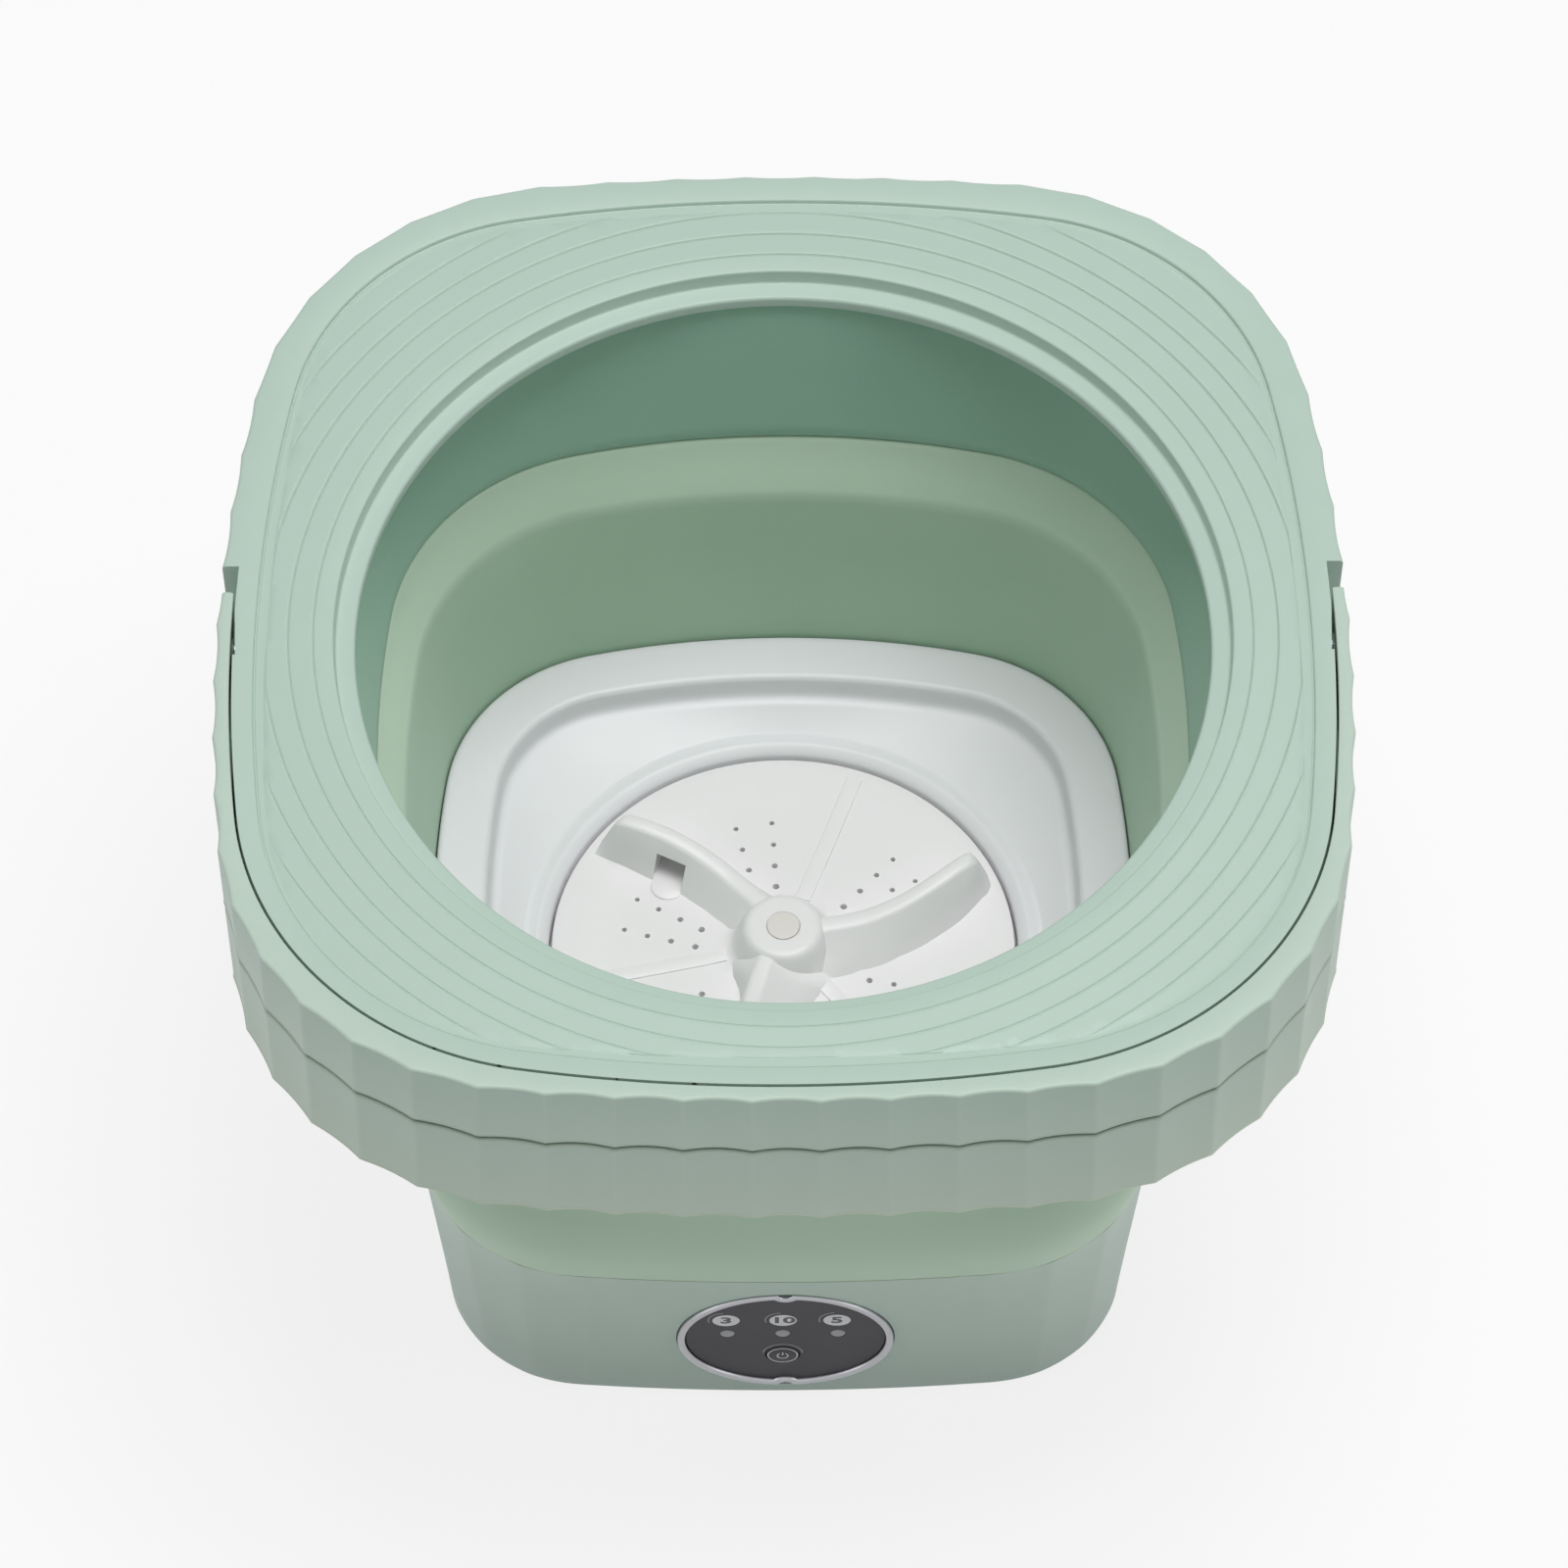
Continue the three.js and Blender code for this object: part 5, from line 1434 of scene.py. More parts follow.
@dataclass
class Pulsator:
    """The pulsator: a dished disc with a hub, three curved vanes, low ribs and water holes."""

    finish: Finishes
    foot: float = height_of(foot_of, "pulsator")
    edge: float = 83.3
    radius: float = 67.2
    hub: float = 95.7
    vane_foot: float = 80.6
    rib_turn: float = 70.6
    steps: int = 128
    ridge: tuple[tuple[float, float, float, float], ...] = (
        (8, 3, 94.8, 2.4), (14, 6, 94.6, 2.4), (19, 8, 94.4, 2.4), (24, 9.3, 94.5, 2.35),
        (34, 12.7, 96, 2.25), (45, 17, 98, 2.2), (53.5, 20.3, 98.7, 2.15), (58.2, 21.7, 98.5, 2.1),
        (59.9, 22.2, 97.3, 1.9), (61.6, 22.7, 93.2, 1.7), (63.2, 23.2, 88.6, 1.5), (64.4, 23.6, 84.9, 1.3),
    )
    feet: tuple[tuple[Triple, ...], ...] = (
        (
            (8, -60, 60), (14, -48, 40), (18.6, -38.9, 30), (20, -33, 28), (24, -20.7, 26),
            (34, -5.4, 25), (45, 5.3, 26), (53.5, 11.5, 27.4), (60, 16.6, 28), (62.5, 18, 28),
            (64.2, 20, 27.6),
        ),
        (
            (8, -60, 62), (13.8, -35, 46), (18.7, -14, 35.8), (26.2, -2, 29.9), (34.5, 3, 27.4),
            (45, 9, 27.2), (53.5, 13, 27.4), (60, 17, 28), (62.5, 18, 28.1), (64.2, 20, 28.1),
        ),
        (
            (8, -60, 88), (14, -46, 86), (16.8, -36.8, 84), (18.3, -21, 79), (20.5, -6.7, 56.7),
            (24, -3, 45), (34, 2, 33), (45, 9, 29), (60, 17, 28), (62.5, 18, 28), (64.2, 20, 27.6),
        ),
    )
    window: Pair = (40.8, 24.5)
    holes: tuple[Pair, ...] = (
        (44.3, 107.7), (36.6, 108.5), (28.9, 109.7),
        (44.3, 93.9), (36.5, 94.1), (28.7, 94.6), (21.1, 95.4),
        (44.7, 44.3), (37.3, 43.2), (29.8, 41.4), (22.4, 38.3), (45.0, 31.6), (37.6, 32.6),
        (45.7, 157.4), (38.6, 158.9), (31.4, 161.4), (24.4, 165.4),
        (46.5, 171.3), (39.6, 173.3), (32.6, 175.6), (25.5, 179.6),
        (27.6, 334.5), (34.5, 337.8),
        (44.3, 227.7), (36.6, 228.5), (44.3, 213.9), (36.5, 214.1), (28.7, 214.6),
        (45.7, 277.4), (38.6, 278.9), (46.5, 291.3), (39.6, 293.3), (32.6, 295.6),
    )

    def disc(self) -> Object:
        """The disc and the hub.

        Returns:
            The disc.
        """
        foot, radius, edge, hub = self.foot, self.radius, self.edge, self.hub
        profile = [(4.3, foot), (12.6, foot), (15, 82.8), (62.4, 79.8), (64.8, foot), (66.8, foot)]
        profile += [(radius, foot + 0.4), (radius, edge - 0.9), (66.95, edge - 0.3), (66.3, edge)]
        profile += [(64, edge + 0.1), (60.5, edge + 0.45), (57, edge + 0.55), (53, edge + 0.42)]
        profile += [(46, edge + 0.5), (36, edge + 0.95), (26, edge + 1.5), (20, edge + 1.95)]
        profile += [(17, 85.6), (15.3, 86.4), (14.3, 87.8), (13.2, 91), (12.1, 93.4), (11.6, 94.4)]
        profile += [(10.9, 95.2), (9.9, 95.62), (9.0, hub), (5.1, hub), (4.8, hub - 0.3)]
        profile += [(4.8, 93.3), (1.8, 93.3), (1.8, 90), (4.3, 90)]
        turns = np.arange(self.steps) * 2 * math.pi / self.steps
        rings = np.array([circle_ring(turns, r, z) for r, z in profile])
        return loft("pulsator_skin", rings, closed=True, angle=TURNED)

    def surface(self, radius: float) -> float:
        """Height of the disc's top at a radius."""
        rises = [2.35, 1.95, 1.5, 0.95, 0.5, 0.42, 0.55, 0.45, 0.1, 0]
        return self.edge + float(np.interp(radius, [17, 20, 26, 36, 46, 53, 57, 60.5, 64, 66], rises))

    def vane(self, number: int) -> Object:
        """One vane: a curved ridge with a narrow crest and sloping sides.

        Args:
            number: Which vane, from 0.

        Returns:
            The vane, still to be joined to the disc.
        """
        ridge, feet = np.array(self.ridge).T, np.array(self.feet[number]).T
        rings = []
        for radius in np.concatenate([np.linspace(8, 56, 25), np.linspace(57, 64.2, 9)]):
            crest, high, half = (float(np.interp(radius, ridge[0], row)) for row in ridge[1:])
            low = self.surface(radius)
            section = []
            for side in (-1, 1):
                foot = float(np.interp(radius, feet[0], feet[1 if side < 0 else 2]))
                reach = math.degrees(half / radius)
                flank = crest + side * reach * 1.25
                drop = max(high - low, 0.3)
                rise = min(1.0, drop * 0.3)
                half_section = [
                    (foot, self.vane_foot),
                    (foot, low - 0.1),
                    (foot + (flank - foot) * 0.06, low + 0.05 * drop),
                    (foot + (flank - foot) * 0.5, low + 0.44 * drop),
                    (flank, high - rise),
                    (crest + side * reach, high - rise * 0.42),
                    (crest + side * reach * 0.6, high - rise * 0.1),
                ]
                section += half_section if side < 0 else [(crest, high), *reversed(half_section)]
            turns = np.radians(np.array([turn for turn, _ in section]) + 120 * number)
            rings.append(circle_ring(turns, radius, np.array([z for _, z in section])))
        return loft("vane", np.array(rings), angle=SOFT)

    def rib(self, turn: float) -> Object:
        """One low flat rib from the hub to near the edge.

        Args:
            turn: Its direction.

        Returns:
            The rib, still to be joined to the disc.
        """
        c, s = math.cos(turn), math.sin(turn)
        rings = []
        for radius in (17, 22, 30, 40, 50, 58, 63.5):
            surface = self.surface(radius)
            side = [(w, surface + z) for w, z in ((2.35, -1.5), (2.35, 0.1), (2.2, 0.34), (1.95, 0.42))]
            loop = [(-w, z) for w, z in side] + side[::-1]
            rings.append([(radius * c - w * s, radius * s + w * c, z) for w, z in loop])
        return loft("rib", np.array(rings), angle=SOFT)

    def build(self) -> None:
        """Build and dress the pulsator and its hub cap."""
        disc = self.disc()
        for k in range(3):
            rib = self.rib(k * 2 * math.pi / 3 + math.radians(self.rib_turn))
            combine(disc, Join.ADD, self.vane(k), rib)
        profile = [(0, 78), (0.6, 78), (0.6, 83.2), (1.0, 85.1), (1.15, 86.5), (0, 86.5)]
        hole = lathe("hole", profile, 16)
        copies = [turn_copy(hole, "hole", round_spot(r, math.radians(t))) for r, t in self.holes]
        bpy.data.objects.remove(hole, do_unlink=True)
        combine(disc, Join.CUT, joined(*copies))
        radius, turn = self.window[0], math.radians(120 + self.window[1])
        floor = self.surface(radius)
        top = floor + 0.75
        place = round_spot(radius, turn) @ Matrix.Rotation(turn + math.radians(14), 4, "Z")
        pad = lathe("pad", [(0, 82), (5.1, 82), (4.9, floor + 0.5), (4.4, top), (0, top)], 48)
        pad.data.transform(spot(-0.5, 1.6))
        window = block("window", (-4.9, -8.5, top), (4.5, 12, 92.6))
        for obj in (pad, window):
            obj.data.transform(place)
        combine(disc, Join.ADD, pad)
        combine(disc, Join.CUT, window)
        settle(disc, TURNED)
        put(disc, self.finish.white, Body.PULSATOR, Slot.WHITE, "pulsator")
        profile = [(0, 94.6), (4.68, 94.6), (4.72, 94.8), (4.72, 95.66), (4.62, 95.78), (4.2, 95.84)]
        cap = lathe("hub_cap_skin", [*profile, (2, 95.9), (0, 95.92)], 64)
        put(cap, self.finish.cap, Body.PULSATOR, Slot.CAP, "hub_cap")


@dataclass
class BaseHousing:
    """The base housing: a sloping wall with shallow flutes, plain round the panel."""

    finish: Finishes
    samples: int = 12
    flutes: int = 43
    depth: float = 0.7
    foot: float = height_of(foot_of, "base_housing")
    top: float = height_of(top_of, "base_housing")
    smooth_front: float = 46.0
    pitch: float = 17.0
    lip: float = 20.0

    def lean(self, z: float) -> float:
        """How far the wall stands out at a height, compared with its foot."""
        return (z - self.foot) * math.tan(BASE_SLOPE)

    def build(self) -> Object:
        """Build and dress the housing.

        Returns:
            The piece.
        """
        count = self.samples * self.flutes
        points, normals = BASE_OUTLINE.walk(count)
        share = np.arange(count) / self.samples
        across = 2 * (share - np.round(share))
        raw = np.sqrt((self.depth * (1 - across**2)) ** 2 + 0.05**2) - 0.05
        plain = np.clip((np.abs(points[:, 0]) - self.smooth_front) / self.pitch, 0, 1)
        fade = np.where(points[:, 1] < 0, plain, 1)
        dips = raw * fade

        def ring(inset: float, z: float, dip: float) -> np.ndarray:
            """A ring of the sloping wall."""
            out = self.lean(z) - inset - dips * dip
            return level_ring(points + normals * out[:, None], z)

        foot, top = self.foot, self.top
        wall = [(g, z, 0.12) for g, z in fillet((0, foot), (0.9, foot), (0, foot + 0.9), 5)]
        wall += [(0, foot + 12, 0.45), (0, foot + 30, 0.8), (0, top - 12, 1), (0, top - 1.0, 1)]
        wall += [(0, top - 0.45, 0.8), (0.03, top - 0.2, 0.5), (0.12, top - 0.04, 0.2), (0.3, top, 0)]
        wall += [(self.lip, top, 0), (self.lip, top - 2.5, 0), (3, top - 2.5, 0), (3, foot, 0)]
        rings = np.array([ring(*place) for place in wall])
        # Painted highlight on the flute ridges and along the top edge.
        crests = np.clip((np.abs(share - np.round(share)) - 0.4) / 0.1, 0, 1) * fade
        light = np.maximum(crests * 0.08, 0.5 * np.clip(1 - (top - rings[..., 2]) / 0.5, 0, 1))
        base = loft("base_skin", rings, closed=True, angle=FLUTED, tint=light)
        panel = ControlPanel.front_place(ControlPanel.height)
        recess = ControlPanel.oval_block("recess", -0.3, -2.5, 8)
        opening = ControlPanel.oval_block("opening", 5, -20, 5)
        ledge = ControlPanel.oval_block("ledge", -0.5, -4.5, -1.0)
        for obj in (recess, opening, ledge):
            obj.data.transform(panel)
        combine(base, Join.ADD, ledge)
        combine(base, Join.CUT, recess, opening)
        for x, radius in ((RearFittings.inlet_x, 5.5), (RearFittings.outlet_x, 8.8)):
            hole = lathe("way", [(0, -12), (radius, -12), (radius, 6), (0, 6)], 64)
            hole.data.transform(RearFittings.rear_place(x))
            combine(base, Join.CUT, hole)
        settle(base, FLUTED)
        return put(base, self.finish.base, Body.BASE, Slot.SHELL, "base_housing")


@dataclass
class ControlPanel:
    """The control panel: a silver bezel, a dark face, printed marks, lamps and a button."""

    finish: Finishes
    height: ClassVar[float] = 35.2
    half_width: ClassVar[float] = 31.3
    half_height: ClassVar[float] = 28.2
    bezel_width: float = 2.3
    notch: float = 2.2
    notch_rise: float = 0.6
    face_drop: float = 0.4
    shift: float = -0.8
    pitch: float = 16.0
    lamp_y: float = 2.8
    marks_at: tuple[tuple[str, float], ...] = (("3", -17.2), ("10", -0.7), ("5", 14.9))
    mark_y: float = 11.3
    button_y: float = -10.4
    button_radius: float = 4.8
    ink: float = 0.06
    widen: float = 1.42

    @staticmethod
    def front_place(z: float) -> Matrix:
        """A place on the sloping front wall, with its own Z pointing out of the wall, in metres."""
        depth = BASE_OUTLINE.front + (z - foot_of("base_housing")) * math.tan(BASE_SLOPE)
        return spot(0, -depth, z) @ Matrix.Rotation(math.pi / 2 + BASE_SLOPE, 4, "X")

    @staticmethod
    def oval_block(name: str, inset: float, under: float, over: float) -> Object:
        """A solid with the panel's oval outline.

        Args:
            name: Name of the solid.
            inset: How far it is smaller than the panel all round.
            under: Height of its underside.
            over: Height of its top.

        Returns:
            The solid.
        """
        turns = np.arange(160) * 2 * math.pi / 160
        wide, high = ControlPanel.half_width - inset, ControlPanel.half_height - inset
        flat = np.column_stack([wide * np.cos(turns), high * np.sin(turns)])
        return loft(name, np.array([level_ring(flat, under), level_ring(flat, over)]))

    def edge(self, inset: float, turns: np.ndarray) -> np.ndarray:
        """The panel's outline with a half-round notch at the top and the bottom.

        Args:
            inset: How far the outline is shrunk.
            turns: Directions of its points.

        Returns:
            The points, as rows of X and Y.
        """
        a, b = self.half_width - inset, self.half_height - inset
        reach = a * b / np.hypot(b * np.cos(turns), a * np.sin(turns))
        centre = self.half_height + self.notch_rise
        radius = self.notch + inset
        off = np.abs(np.abs(turns) - math.pi / 2)
        under = radius**2 - (centre * np.sin(off)) ** 2
        near = centre * np.cos(off) - np.sqrt(np.maximum(under, 0))
        inside = (under > 0) & (off < 0.5)
        reach = np.where(inside, np.minimum(reach, near), reach)
        return np.column_stack([reach * np.cos(turns), reach * np.sin(turns)])

    def turns(self) -> np.ndarray:
        """Directions round the panel, closer together at the notches.

        Returns:
            The directions, from minus pi to pi.
        """
        fine = np.linspace(-0.2, 0.2, 61)
        coarse = np.linspace(0.22, math.pi - 0.22, 90)
        half = np.concatenate([fine, coarse])
        turns = np.concatenate([half - math.pi / 2, half + math.pi / 2])
        return np.where(turns > math.pi, turns - 2 * math.pi, turns)

    def place(self, obj: Object) -> Object:
        """Move a piece from the panel's plane to the front wall."""
        obj.data.transform(self.front_place(self.height))
        return obj

    def bezel(self) -> None:
        """The silver bezel, with a crowned section."""
        turns = self.turns()
        width = self.bezel_width
        profile = [(0, -2.2), (0, 0.1), (0.12, 0.45), (0.45, 0.7), (0.95, 0.8), (1.5, 0.74), (2.0, 0.5)]
        profile += [(width - 0.05, 0.15), (width, -0.2), (width, -2.2)]
        rings = np.array([level_ring(self.edge(inset, turns), z) for inset, z in profile])
        bezel = self.place(loft("panel_bezel_skin", rings, closed=True, angle=SOFT))
        put(settle(bezel, SOFT), self.finish.bezel, Body.BASE, Slot.BEZEL, "panel_bezel")

    def face(self) -> None:
        """The dark face with its openings for the lamps and the button."""
        turns = self.turns()
        inset = self.bezel_width + 0.3
        rings = np.array([level_ring(self.edge(inset, turns), z) for z in (-2.0, -self.face_drop)])
        face = loft("panel_face_skin", rings)
        holes = [(self.shift + k * self.pitch, self.lamp_y, 2.2) for k in (-1, 0, 1)]
        holes.append((self.shift, self.button_y, self.button_radius + 0.3))
        for x, y, radius in holes:
            hole = lathe("hole", [(0, -4), (radius, -4), (radius, 2), (0, 2)], 48)
            hole.data.transform(spot(x, y))
            combine(face, Join.CUT, hole)
        put(settle(self.place(face)), self.finish.panel, Body.BASE, Slot.PANEL, "panel_face")

    def lamps(self) -> None:
        """Three frosted lamp lenses."""
        profile = [(0, -7.7), (2.15, -7.7), (2.15, -0.55), (2.0, -0.42), (1.2, -0.34), (0, -0.3)]
        for k in (-1, 0, 1):
            lens = lathe(f"lamp_lens_{k + 2}", profile, 48)
            lens.data.transform(spot(self.shift + k * self.pitch, self.lamp_y))
            put(self.place(lens), self.finish.lamp, Body.BASE, Slot.LAMP, f"indicator_light_{k + 2}")

    def stroke(
        self, name: str, centre: Pair, radii: Pair, width: float, span: Pair, height: float
    ) -> Object:
        """A thin line along an oval.

        Args:
            name: Name of the piece.
            centre: Middle of the oval.
            radii: Its half width and half height.
            width: Width of the line.
            span: First and last direction in degrees; a full turn closes the line.
            height: Height of the ink's top.

        Returns:
            The printed line.
        """
        full = span[1] - span[0] >= 360
        steps = 96 if full else 40
        turns = np.radians(np.linspace(*span, steps, endpoint=not full))
        rings = []
        for t in turns:
            c, s = math.cos(t), math.sin(t)
            inner, outer = (
                (centre[0] + (radii[0] + half) * c, centre[1] + (radii[1] + half) * s)
                for half in (-width / 2, width / 2)
            )
            low = height - self.ink
            rings.append([(*inner, low), (*outer, low), (*outer, height), (*inner, height)])
        return loft(name, np.array(rings), closed=full)

    def oval_print(self, name: str, centre: Pair, radii: Pair, height: float) -> Object:
        """A filled printed oval.

        Args:
            name: Name of the piece.
            centre: Middle of the oval.
            radii: Its half width and half height.
            height: Height of the ink's top.

        Returns:
            The printed oval.
        """
        turns = np.arange(64) * 2 * math.pi / 64
        x, y = centre[0] + radii[0] * np.cos(turns), centre[1] + radii[1] * np.sin(turns)
        flat = np.column_stack([x, y])
        return loft(name, np.array([level_ring(flat, height - self.ink), level_ring(flat, height)]))

    def numeral(self, text: str, centre: Pair, size: float, height: float) -> Object:
        """A printed number.

        Args:
            text: The number.
            centre: Its middle.
            size: Its size.
            height: Height of the ink.

        Returns:
            The printed number.
        """
        bpy.ops.object.select_all(action="DESELECT")
        bpy.ops.object.text_add()
        obj = bpy.context.object
        obj.name = f"numeral_{text}"
        obj.data.body = text
        obj.data.size = size * MM
        obj.data.align_x, obj.data.align_y = "CENTER", "CENTER"
        obj.data.extrude = 0.02 * MM
        obj.data.offset = 0.17 * MM
        select_only(obj)
        bpy.ops.object.convert(target="MESH")
        obj = bpy.context.object
        obj.data.transform(spot(*centre, height) @ Matrix.Diagonal((self.widen, 1, 1, 1)))
        obj.data.name = obj.name
        return settle(obj)

    def marks(self) -> None:
        """The printed ovals and numbers, and thin pale arcs offset beside the ovals and above the button.
        """
        top = -self.face_drop + 0.03
        for text, x in self.marks_at:
            centre = (x, self.mark_y)
            badge = self.oval_print(f"badge_{text}", centre, (3.95, 3.45), top)
            put(self.place(badge), self.finish.ink, Body.BASE, Slot.LAMP)
            number = self.numeral(text, centre, 5.0, top + 0.02)
            put(self.place(number), self.finish.dark_ink, Body.BASE, Slot.PANEL)
            # A thin pale arc offset up and to the left of each oval.
            beside = (centre[0] - 0.35, centre[1] + 0.3)
            arc = self.stroke(f"arc_{text}", beside, (4.8, 4.45), 0.28, (95, 200), top)
            put(self.place(arc), self.finish.lamp, Body.BASE, Slot.LAMP)
        # A thin pale arc offset above the button's ring.
        above = (self.shift, self.button_y + 0.5)
        arc = self.stroke("arc_button", above, (5.75, 5.9), 0.3, (5, 175), top)
        put(self.place(arc), self.finish.lamp, Body.BASE, Slot.LAMP)

    def button(self) -> None:
        """The power button, with a printed ring and a plain power symbol."""
        y, r = self.button_y, self.button_radius
        profile = [(0, -6.3), (1.6, -6.3), (1.6, -3.3), (5.8, -3.3), (5.8, -2.3), (r, -2.3)]
        profile += [(r, -0.75), (r - 0.12, -0.4), (r - 0.45, -0.15), (r - 1.1, -0.04)]
        profile += [(r - 2.4, 0), (0, 0)]
        button = lathe("power_button_skin", profile, 72, angle=TURNED)
        button.data.transform(spot(self.shift, y))
        put(self.place(button), self.finish.button, Body.BUTTON, Slot.BUTTON, "power_button")
        ring = self.stroke("button_ring", (self.shift, y), (4.25, 4.25), 0.36, (0, 360), -0.03)
        put(self.place(ring), self.finish.ink, Body.BUTTON, Slot.LAMP)
        arc = self.stroke("power_arc", (self.shift, y - 0.15), (1.55, 1.55), 0.36, (122, 418), 0.04)
        put(self.place(arc), self.finish.ink, Body.BUTTON, Slot.LAMP)
        bar = self.oval_print("power_bar", (self.shift, y + 1.05), (0.19, 0.95), 0.04)
        put(self.place(bar), self.finish.ink, Body.BUTTON, Slot.LAMP)

    def build(self) -> None:
        """Build and dress the panel."""
        self.bezel()
        self.face()
        self.lamps()
        self.marks()
        self.button()


@dataclass
class RearFittings:
    """What the rear wall and the underside carry: inlet, drain, plug and feet."""

    finish: Finishes
    inlet_x: ClassVar[float] = -28.0
    outlet_x: ClassVar[float] = 51.554
    height: ClassVar[float] = 18.0

    @staticmethod
    def rear_place(x: float) -> Matrix:
        """A place on the curved rear wall, with its own Z pointing out of the wall, in metres.

        Args:
            x: How far round the wall, as seen from the front.

        Returns:
            The place.
        """
        centre = (BASE_OUTLINE.end_arc - BASE_OUTLINE.rear) * MM
        aside = Matrix.Rotation(-math.asin(x / BASE_OUTLINE.end_arc), 4, "Z")
        turn = Matrix.Rotation(math.pi, 4, "Z") @ Matrix.Translation((0, centre, 0)) @ aside
        front = ControlPanel.front_place(RearFittings.height)
        return turn @ Matrix.Translation((0, -centre, 0)) @ front

    def inlet(self) -> None:
        """The round power inlet."""
        profile = [(0, -12), (5.2, -12), (5.2, -5.3), (7.2, -5.3), (7.2, -3.3), (5.2, -3.3), (5.2, 0.5)]
        profile += [(4.9, 0.8), (3.5, 0.8), (3.1, 0.45), (3.1, -9), (1, -9), (1, -1.2), (0.7, -0.8)]
        profile += [(0, -0.8)]
        inlet = lathe("power_inlet_skin", profile, 64, angle=TURNED)
        inlet.data.transform(self.rear_place(self.inlet_x))
        put(inlet, self.finish.black, Body.BASE, Slot.BLACK, "power_inlet")

    def outlet(self) -> None:
        """The drain outlet and its plug."""
        profile = [(6.3, -16), (8.5, -16), (8.5, 0.3), (11.1, 0.3), (11.5, 0.7), (11.5, 1.5)]
        profile += [(11.0, 2.0), (6.8, 2.0), (6.3, 1.6)]
        outlet = lathe("drain_outlet_skin", profile, 72, closed=True, angle=TURNED)
        outlet.data.transform(self.rear_place(self.outlet_x))
        put(outlet, self.finish.skirt, Body.BASE, Slot.SKIRT, "drain_outlet")
        profile = [(0, -8), (5.2, -8), (6.0, -7.2), (6.0, -2.4), (6.15, -2.0), (6.0, -1.6), (6.0, 2.3)]
        profile += [(11.0, 2.3), (11.5, 2.8), (11.5, 3.8), (10.9, 4.5), (9.6, 4.7), (4.6, 4.7)]
        profile += [(3.6, 5.0), (3.0, 5.8), (3.0, 6.9), (2.5, 7.5), (1.6, 7.7), (0, 7.7)]
        plug = lathe("drain_plug_skin", profile, 72, angle=TURNED)
        plug.data.transform(self.rear_place(self.outlet_x))
        put(plug, self.finish.soft, Body.PLUG, Slot.SOFT, "drain_plug")

    def feet(self) -> None:
        """Four rubber feet with a ringed sole."""
        profile = [(0, 0.5), (3.2, 0.5), (3.5, 0.0), (4.4, 0.0), (4.7, 0.5), (5.2, 0.5), (5.5, 0.0)]
        profile += [(6.2, 0.0), (6.8, 0.25), (7, 0.9), (7, 3.5), (0, 3.5)]
        first = lathe("foot_skin_1", profile, 56, angle=TURNED)
        copies = [first] + [turn_copy(first, f"foot_skin_{k}", Matrix.Identity(4)) for k in (2, 3, 4)]
        for k, obj in enumerate(copies):
            obj.data.transform(spot(*middle_of(f"foot_{k + 1}")))
            put(obj, self.finish.rubber, Body.BASE, Slot.RUBBER, f"foot_{k + 1}")

    def build(self) -> None:
        """Build and dress the fittings."""
        self.inlet()
        self.outlet()
        self.feet()


@dataclass
class InnerWorks:
    """The nodes that keep their CAD shape and take a better finish."""

    finish: Finishes

    def dress(self) -> None:
        """Give each kept node its finish."""
        kept = {
            "steel": (
                "handle_pin", "clamp_screw", "pulsator_screw", "output_shaft",
                "motor_shaft", "motor_can", "basin_screw", "base_screw",
            ),
            "brass": ("motor_pinion", "upper_bush", "lower_bush"),
            "natural": ("drive_wheel", "gearbox_cover", "gearbox_housing"),
            "white": ("tub_clamp_ring", "drain_pipe"),
            "rubber": ("shaft_seal",),
            "black": ("motor_cap", "tact_switch"),
            "board": ("circuit_board",),
            "skirt": ("bottom_cover",),
        }
        for finish, starts in kept.items():
            for name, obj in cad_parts.items():
                if name.startswith(starts):
                    for place in obj.material_slots:
                        place.material = getattr(self.finish, finish)


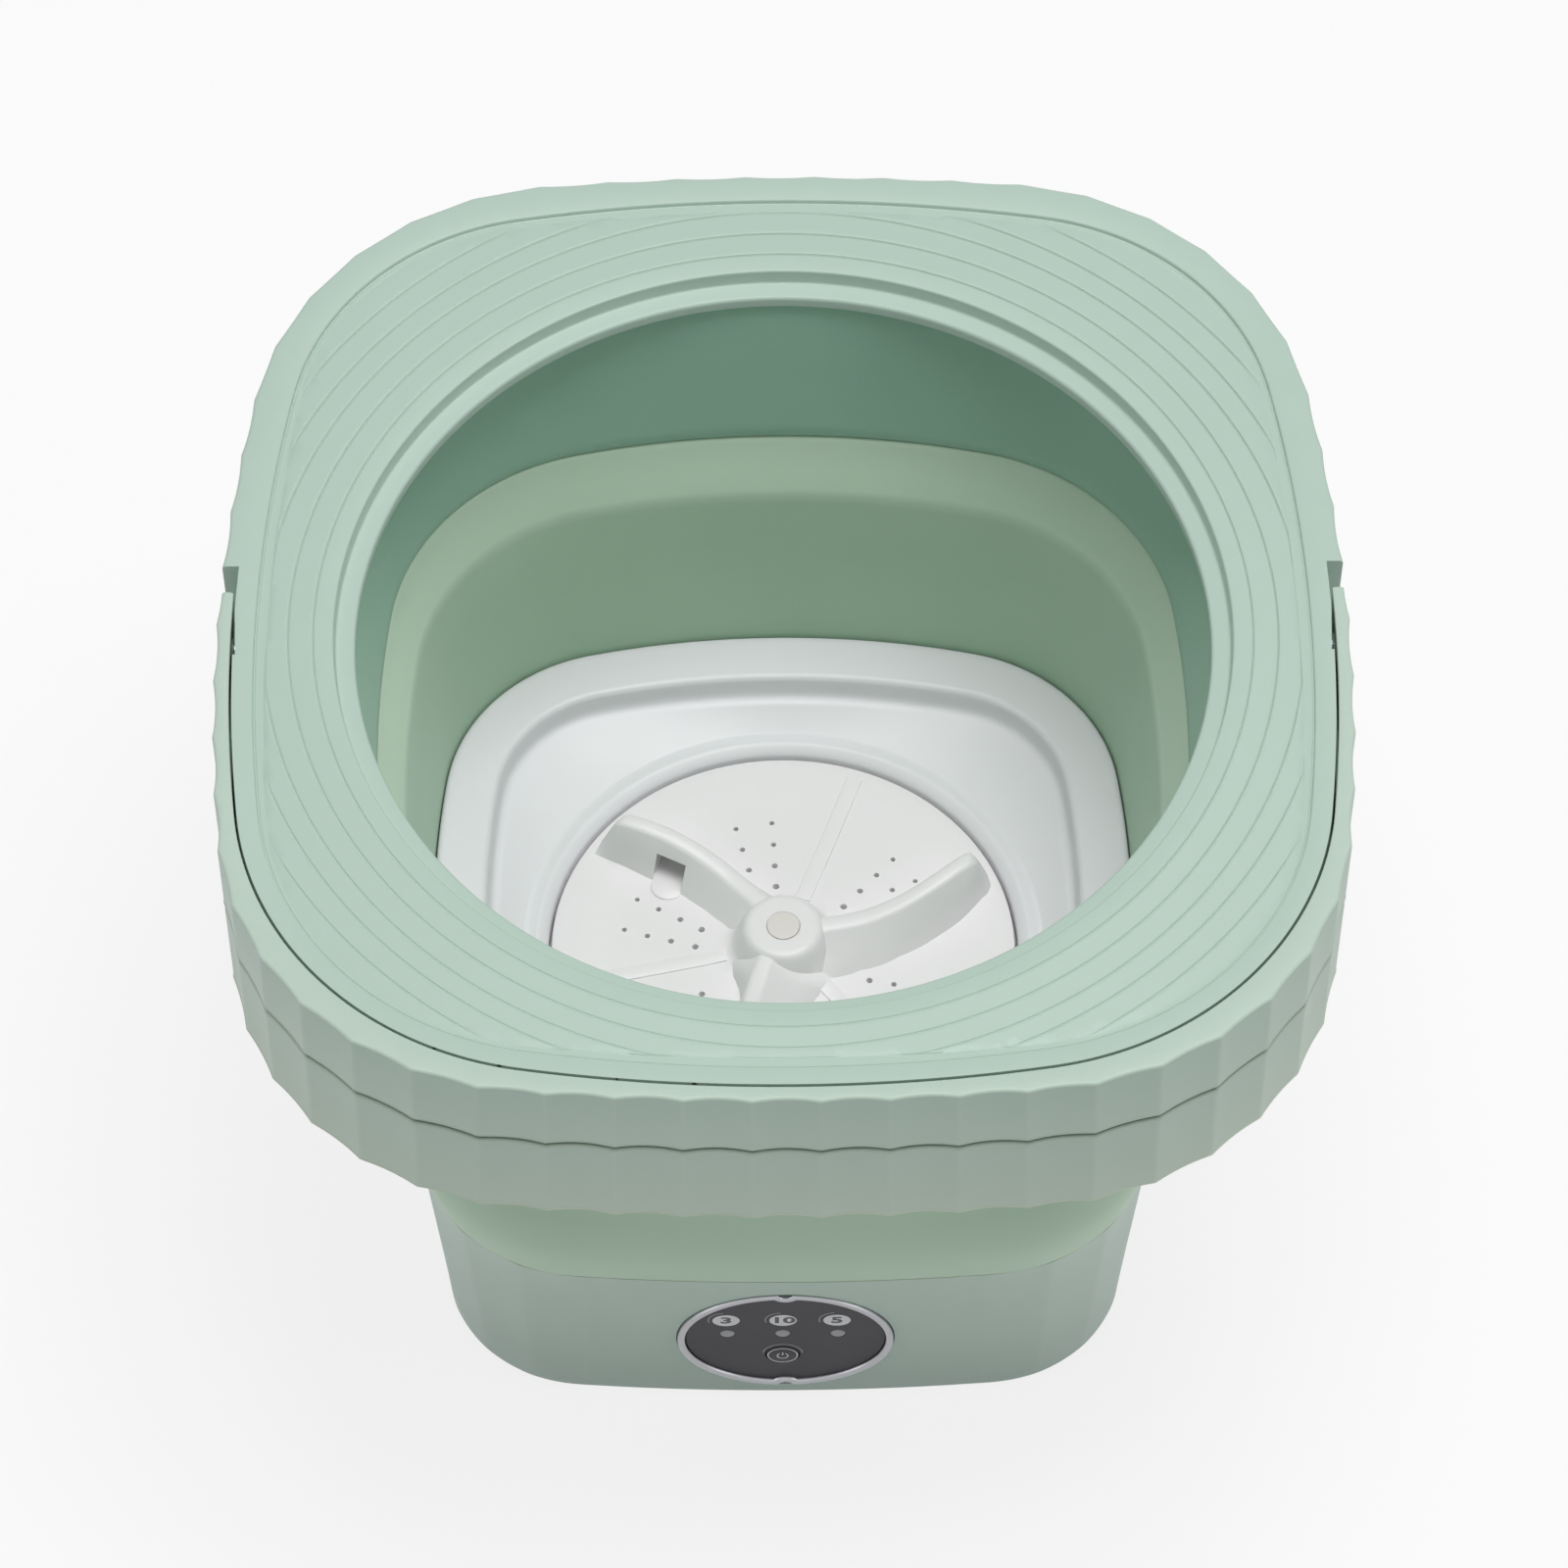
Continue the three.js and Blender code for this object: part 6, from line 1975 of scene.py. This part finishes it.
@dataclass
class Studio:
    """Camera, lamps, floor and backdrop."""

    lens: float = 1650.0
    sensor: float = 36.0
    width: float = 0.4512
    target: Triple = (0.0, -0.0348, 0.2179)
    elevation: float = 55.3
    azimuth: float = -0.35
    sky: float = 0.26
    floor_grey: float = 0.85
    floor_white: float = 0.82
    lamps: tuple[tuple[str, Triple, float, float], ...] = (
        ("overhead_lamp", (0.3, 0.15, 3.0), 1.6, 61),
        ("right_lamp", (2.2, -0.8, 0.8), 1.2, 7),
        ("left_lamp", (-2.2, -0.8, 0.35), 1.2, 8),
        ("front_lamp", (0.0, -2.4, 0.35), 1.2, 1.5),
    )

    def camera(self) -> None:
        """A very long lens at the photograph's viewing angle."""
        bpy.ops.object.camera_add()
        camera = bpy.context.object
        camera.data.lens = self.lens
        camera.data.sensor_width = self.sensor
        camera.data.clip_start, camera.data.clip_end = 1.0, 100.0
        rise, aside = math.radians(self.elevation), math.radians(self.azimuth)
        flat = math.cos(rise)
        back = Vector((math.sin(aside) * flat, -math.cos(aside) * flat, math.sin(rise)))
        camera.location = Vector(self.target) + back * (self.lens / self.sensor * self.width)
        camera.rotation_euler = (-back).to_track_quat("-Z", "Y").to_euler()
        bpy.context.scene.camera = camera

    def lamp(self, name: str, place: Triple, size: float, power: float) -> None:
        """A soft square lamp that looks at the machine.

        Args:
            name: Name of the lamp.
            place: Where it stands, in metres.
            size: Its side, in metres.
            power: Its power, in watts.
        """
        bpy.ops.object.light_add(type="AREA", location=place)
        lamp = bpy.context.object
        lamp.name = name
        lamp.data.shape = "SQUARE"
        lamp.data.size = size
        lamp.data.energy = power
        aim = Vector((0, 0, 0.15)) - Vector(place)
        lamp.rotation_euler = aim.to_track_quat("-Z", "Y").to_euler()
        lamp.visible_camera = False

    def whiten(self, lit: Wire, white: Wire, share: float, output: str) -> None:
        """Show a shader as white to the camera and in reflections, and as it is to the rest.

        Args:
            lit: The shader that light falls on.
            white: The white shader.
            share: Share of white that the camera sees.
            output: Kind of the output node.
        """
        graph = lit.graph
        path = graph.node("ShaderNodeLightPath")
        camera, glossy, through = (
            Wire(graph, path.outputs[f"Is {ray} Ray"]) for ray in ("Camera", "Glossy", "Transmission")
        )
        seen = camera.math("MAXIMUM", camera.math("MAXIMUM", camera, glossy), through) * share
        mixed = graph.wire("ShaderNodeMixShader", None, {0: seen, 1: lit, 2: white})
        graph.node(output, None, {"Surface": mixed})

    def world(self) -> None:
        """A white sky to the camera, a soft grey one to everything else."""
        world = bpy.data.worlds.new("studio_sky")
        bpy.context.scene.world = world
        graph = Graph(world)
        sky = graph.wire("ShaderNodeBackground", None, {"Color": WHITE, "Strength": self.sky})
        white = graph.wire("ShaderNodeBackground", None, {"Color": WHITE})
        self.whiten(sky, white, 1.0, "ShaderNodeOutputWorld")

    def floor(self) -> None:
        """A plain pale floor that keeps the shadow."""
        bpy.ops.object.select_all(action="DESELECT")
        bpy.ops.mesh.primitive_plane_add(size=12, location=(0, 0, 0))
        floor = bpy.context.object
        floor.name = "studio_floor"
        graph = Graph(bpy.data.materials.new("floor_white"))
        grey = graph.wire("ShaderNodeBsdfDiffuse", None, {"Color": (*[self.floor_grey] * 3, 1)})
        white = graph.wire("ShaderNodeEmission", None, {"Color": WHITE})
        self.whiten(grey, white, self.floor_white, "ShaderNodeOutputMaterial")
        floor.data.materials.append(graph.owner)

    def build(self) -> None:
        """Build the studio."""
        bpy.context.scene.view_settings.view_transform = "Standard"
        self.camera()
        self.world()
        for lamp in self.lamps:
            self.lamp(*lamp)
        self.floor()


def main() -> None:
    """Build the studio, then every sub-assembly in order."""
    logging.basicConfig(level=logging.INFO, format="%(message)s")
    Studio().build()
    finish = Finishes()
    InnerWorks(finish).dress()
    for assembly in (Rim, SoftTub, Basin, Pulsator, BaseHousing, ControlPanel, RearFittings):
        assembly(finish).build()


if __name__ == "__main__":
    main()
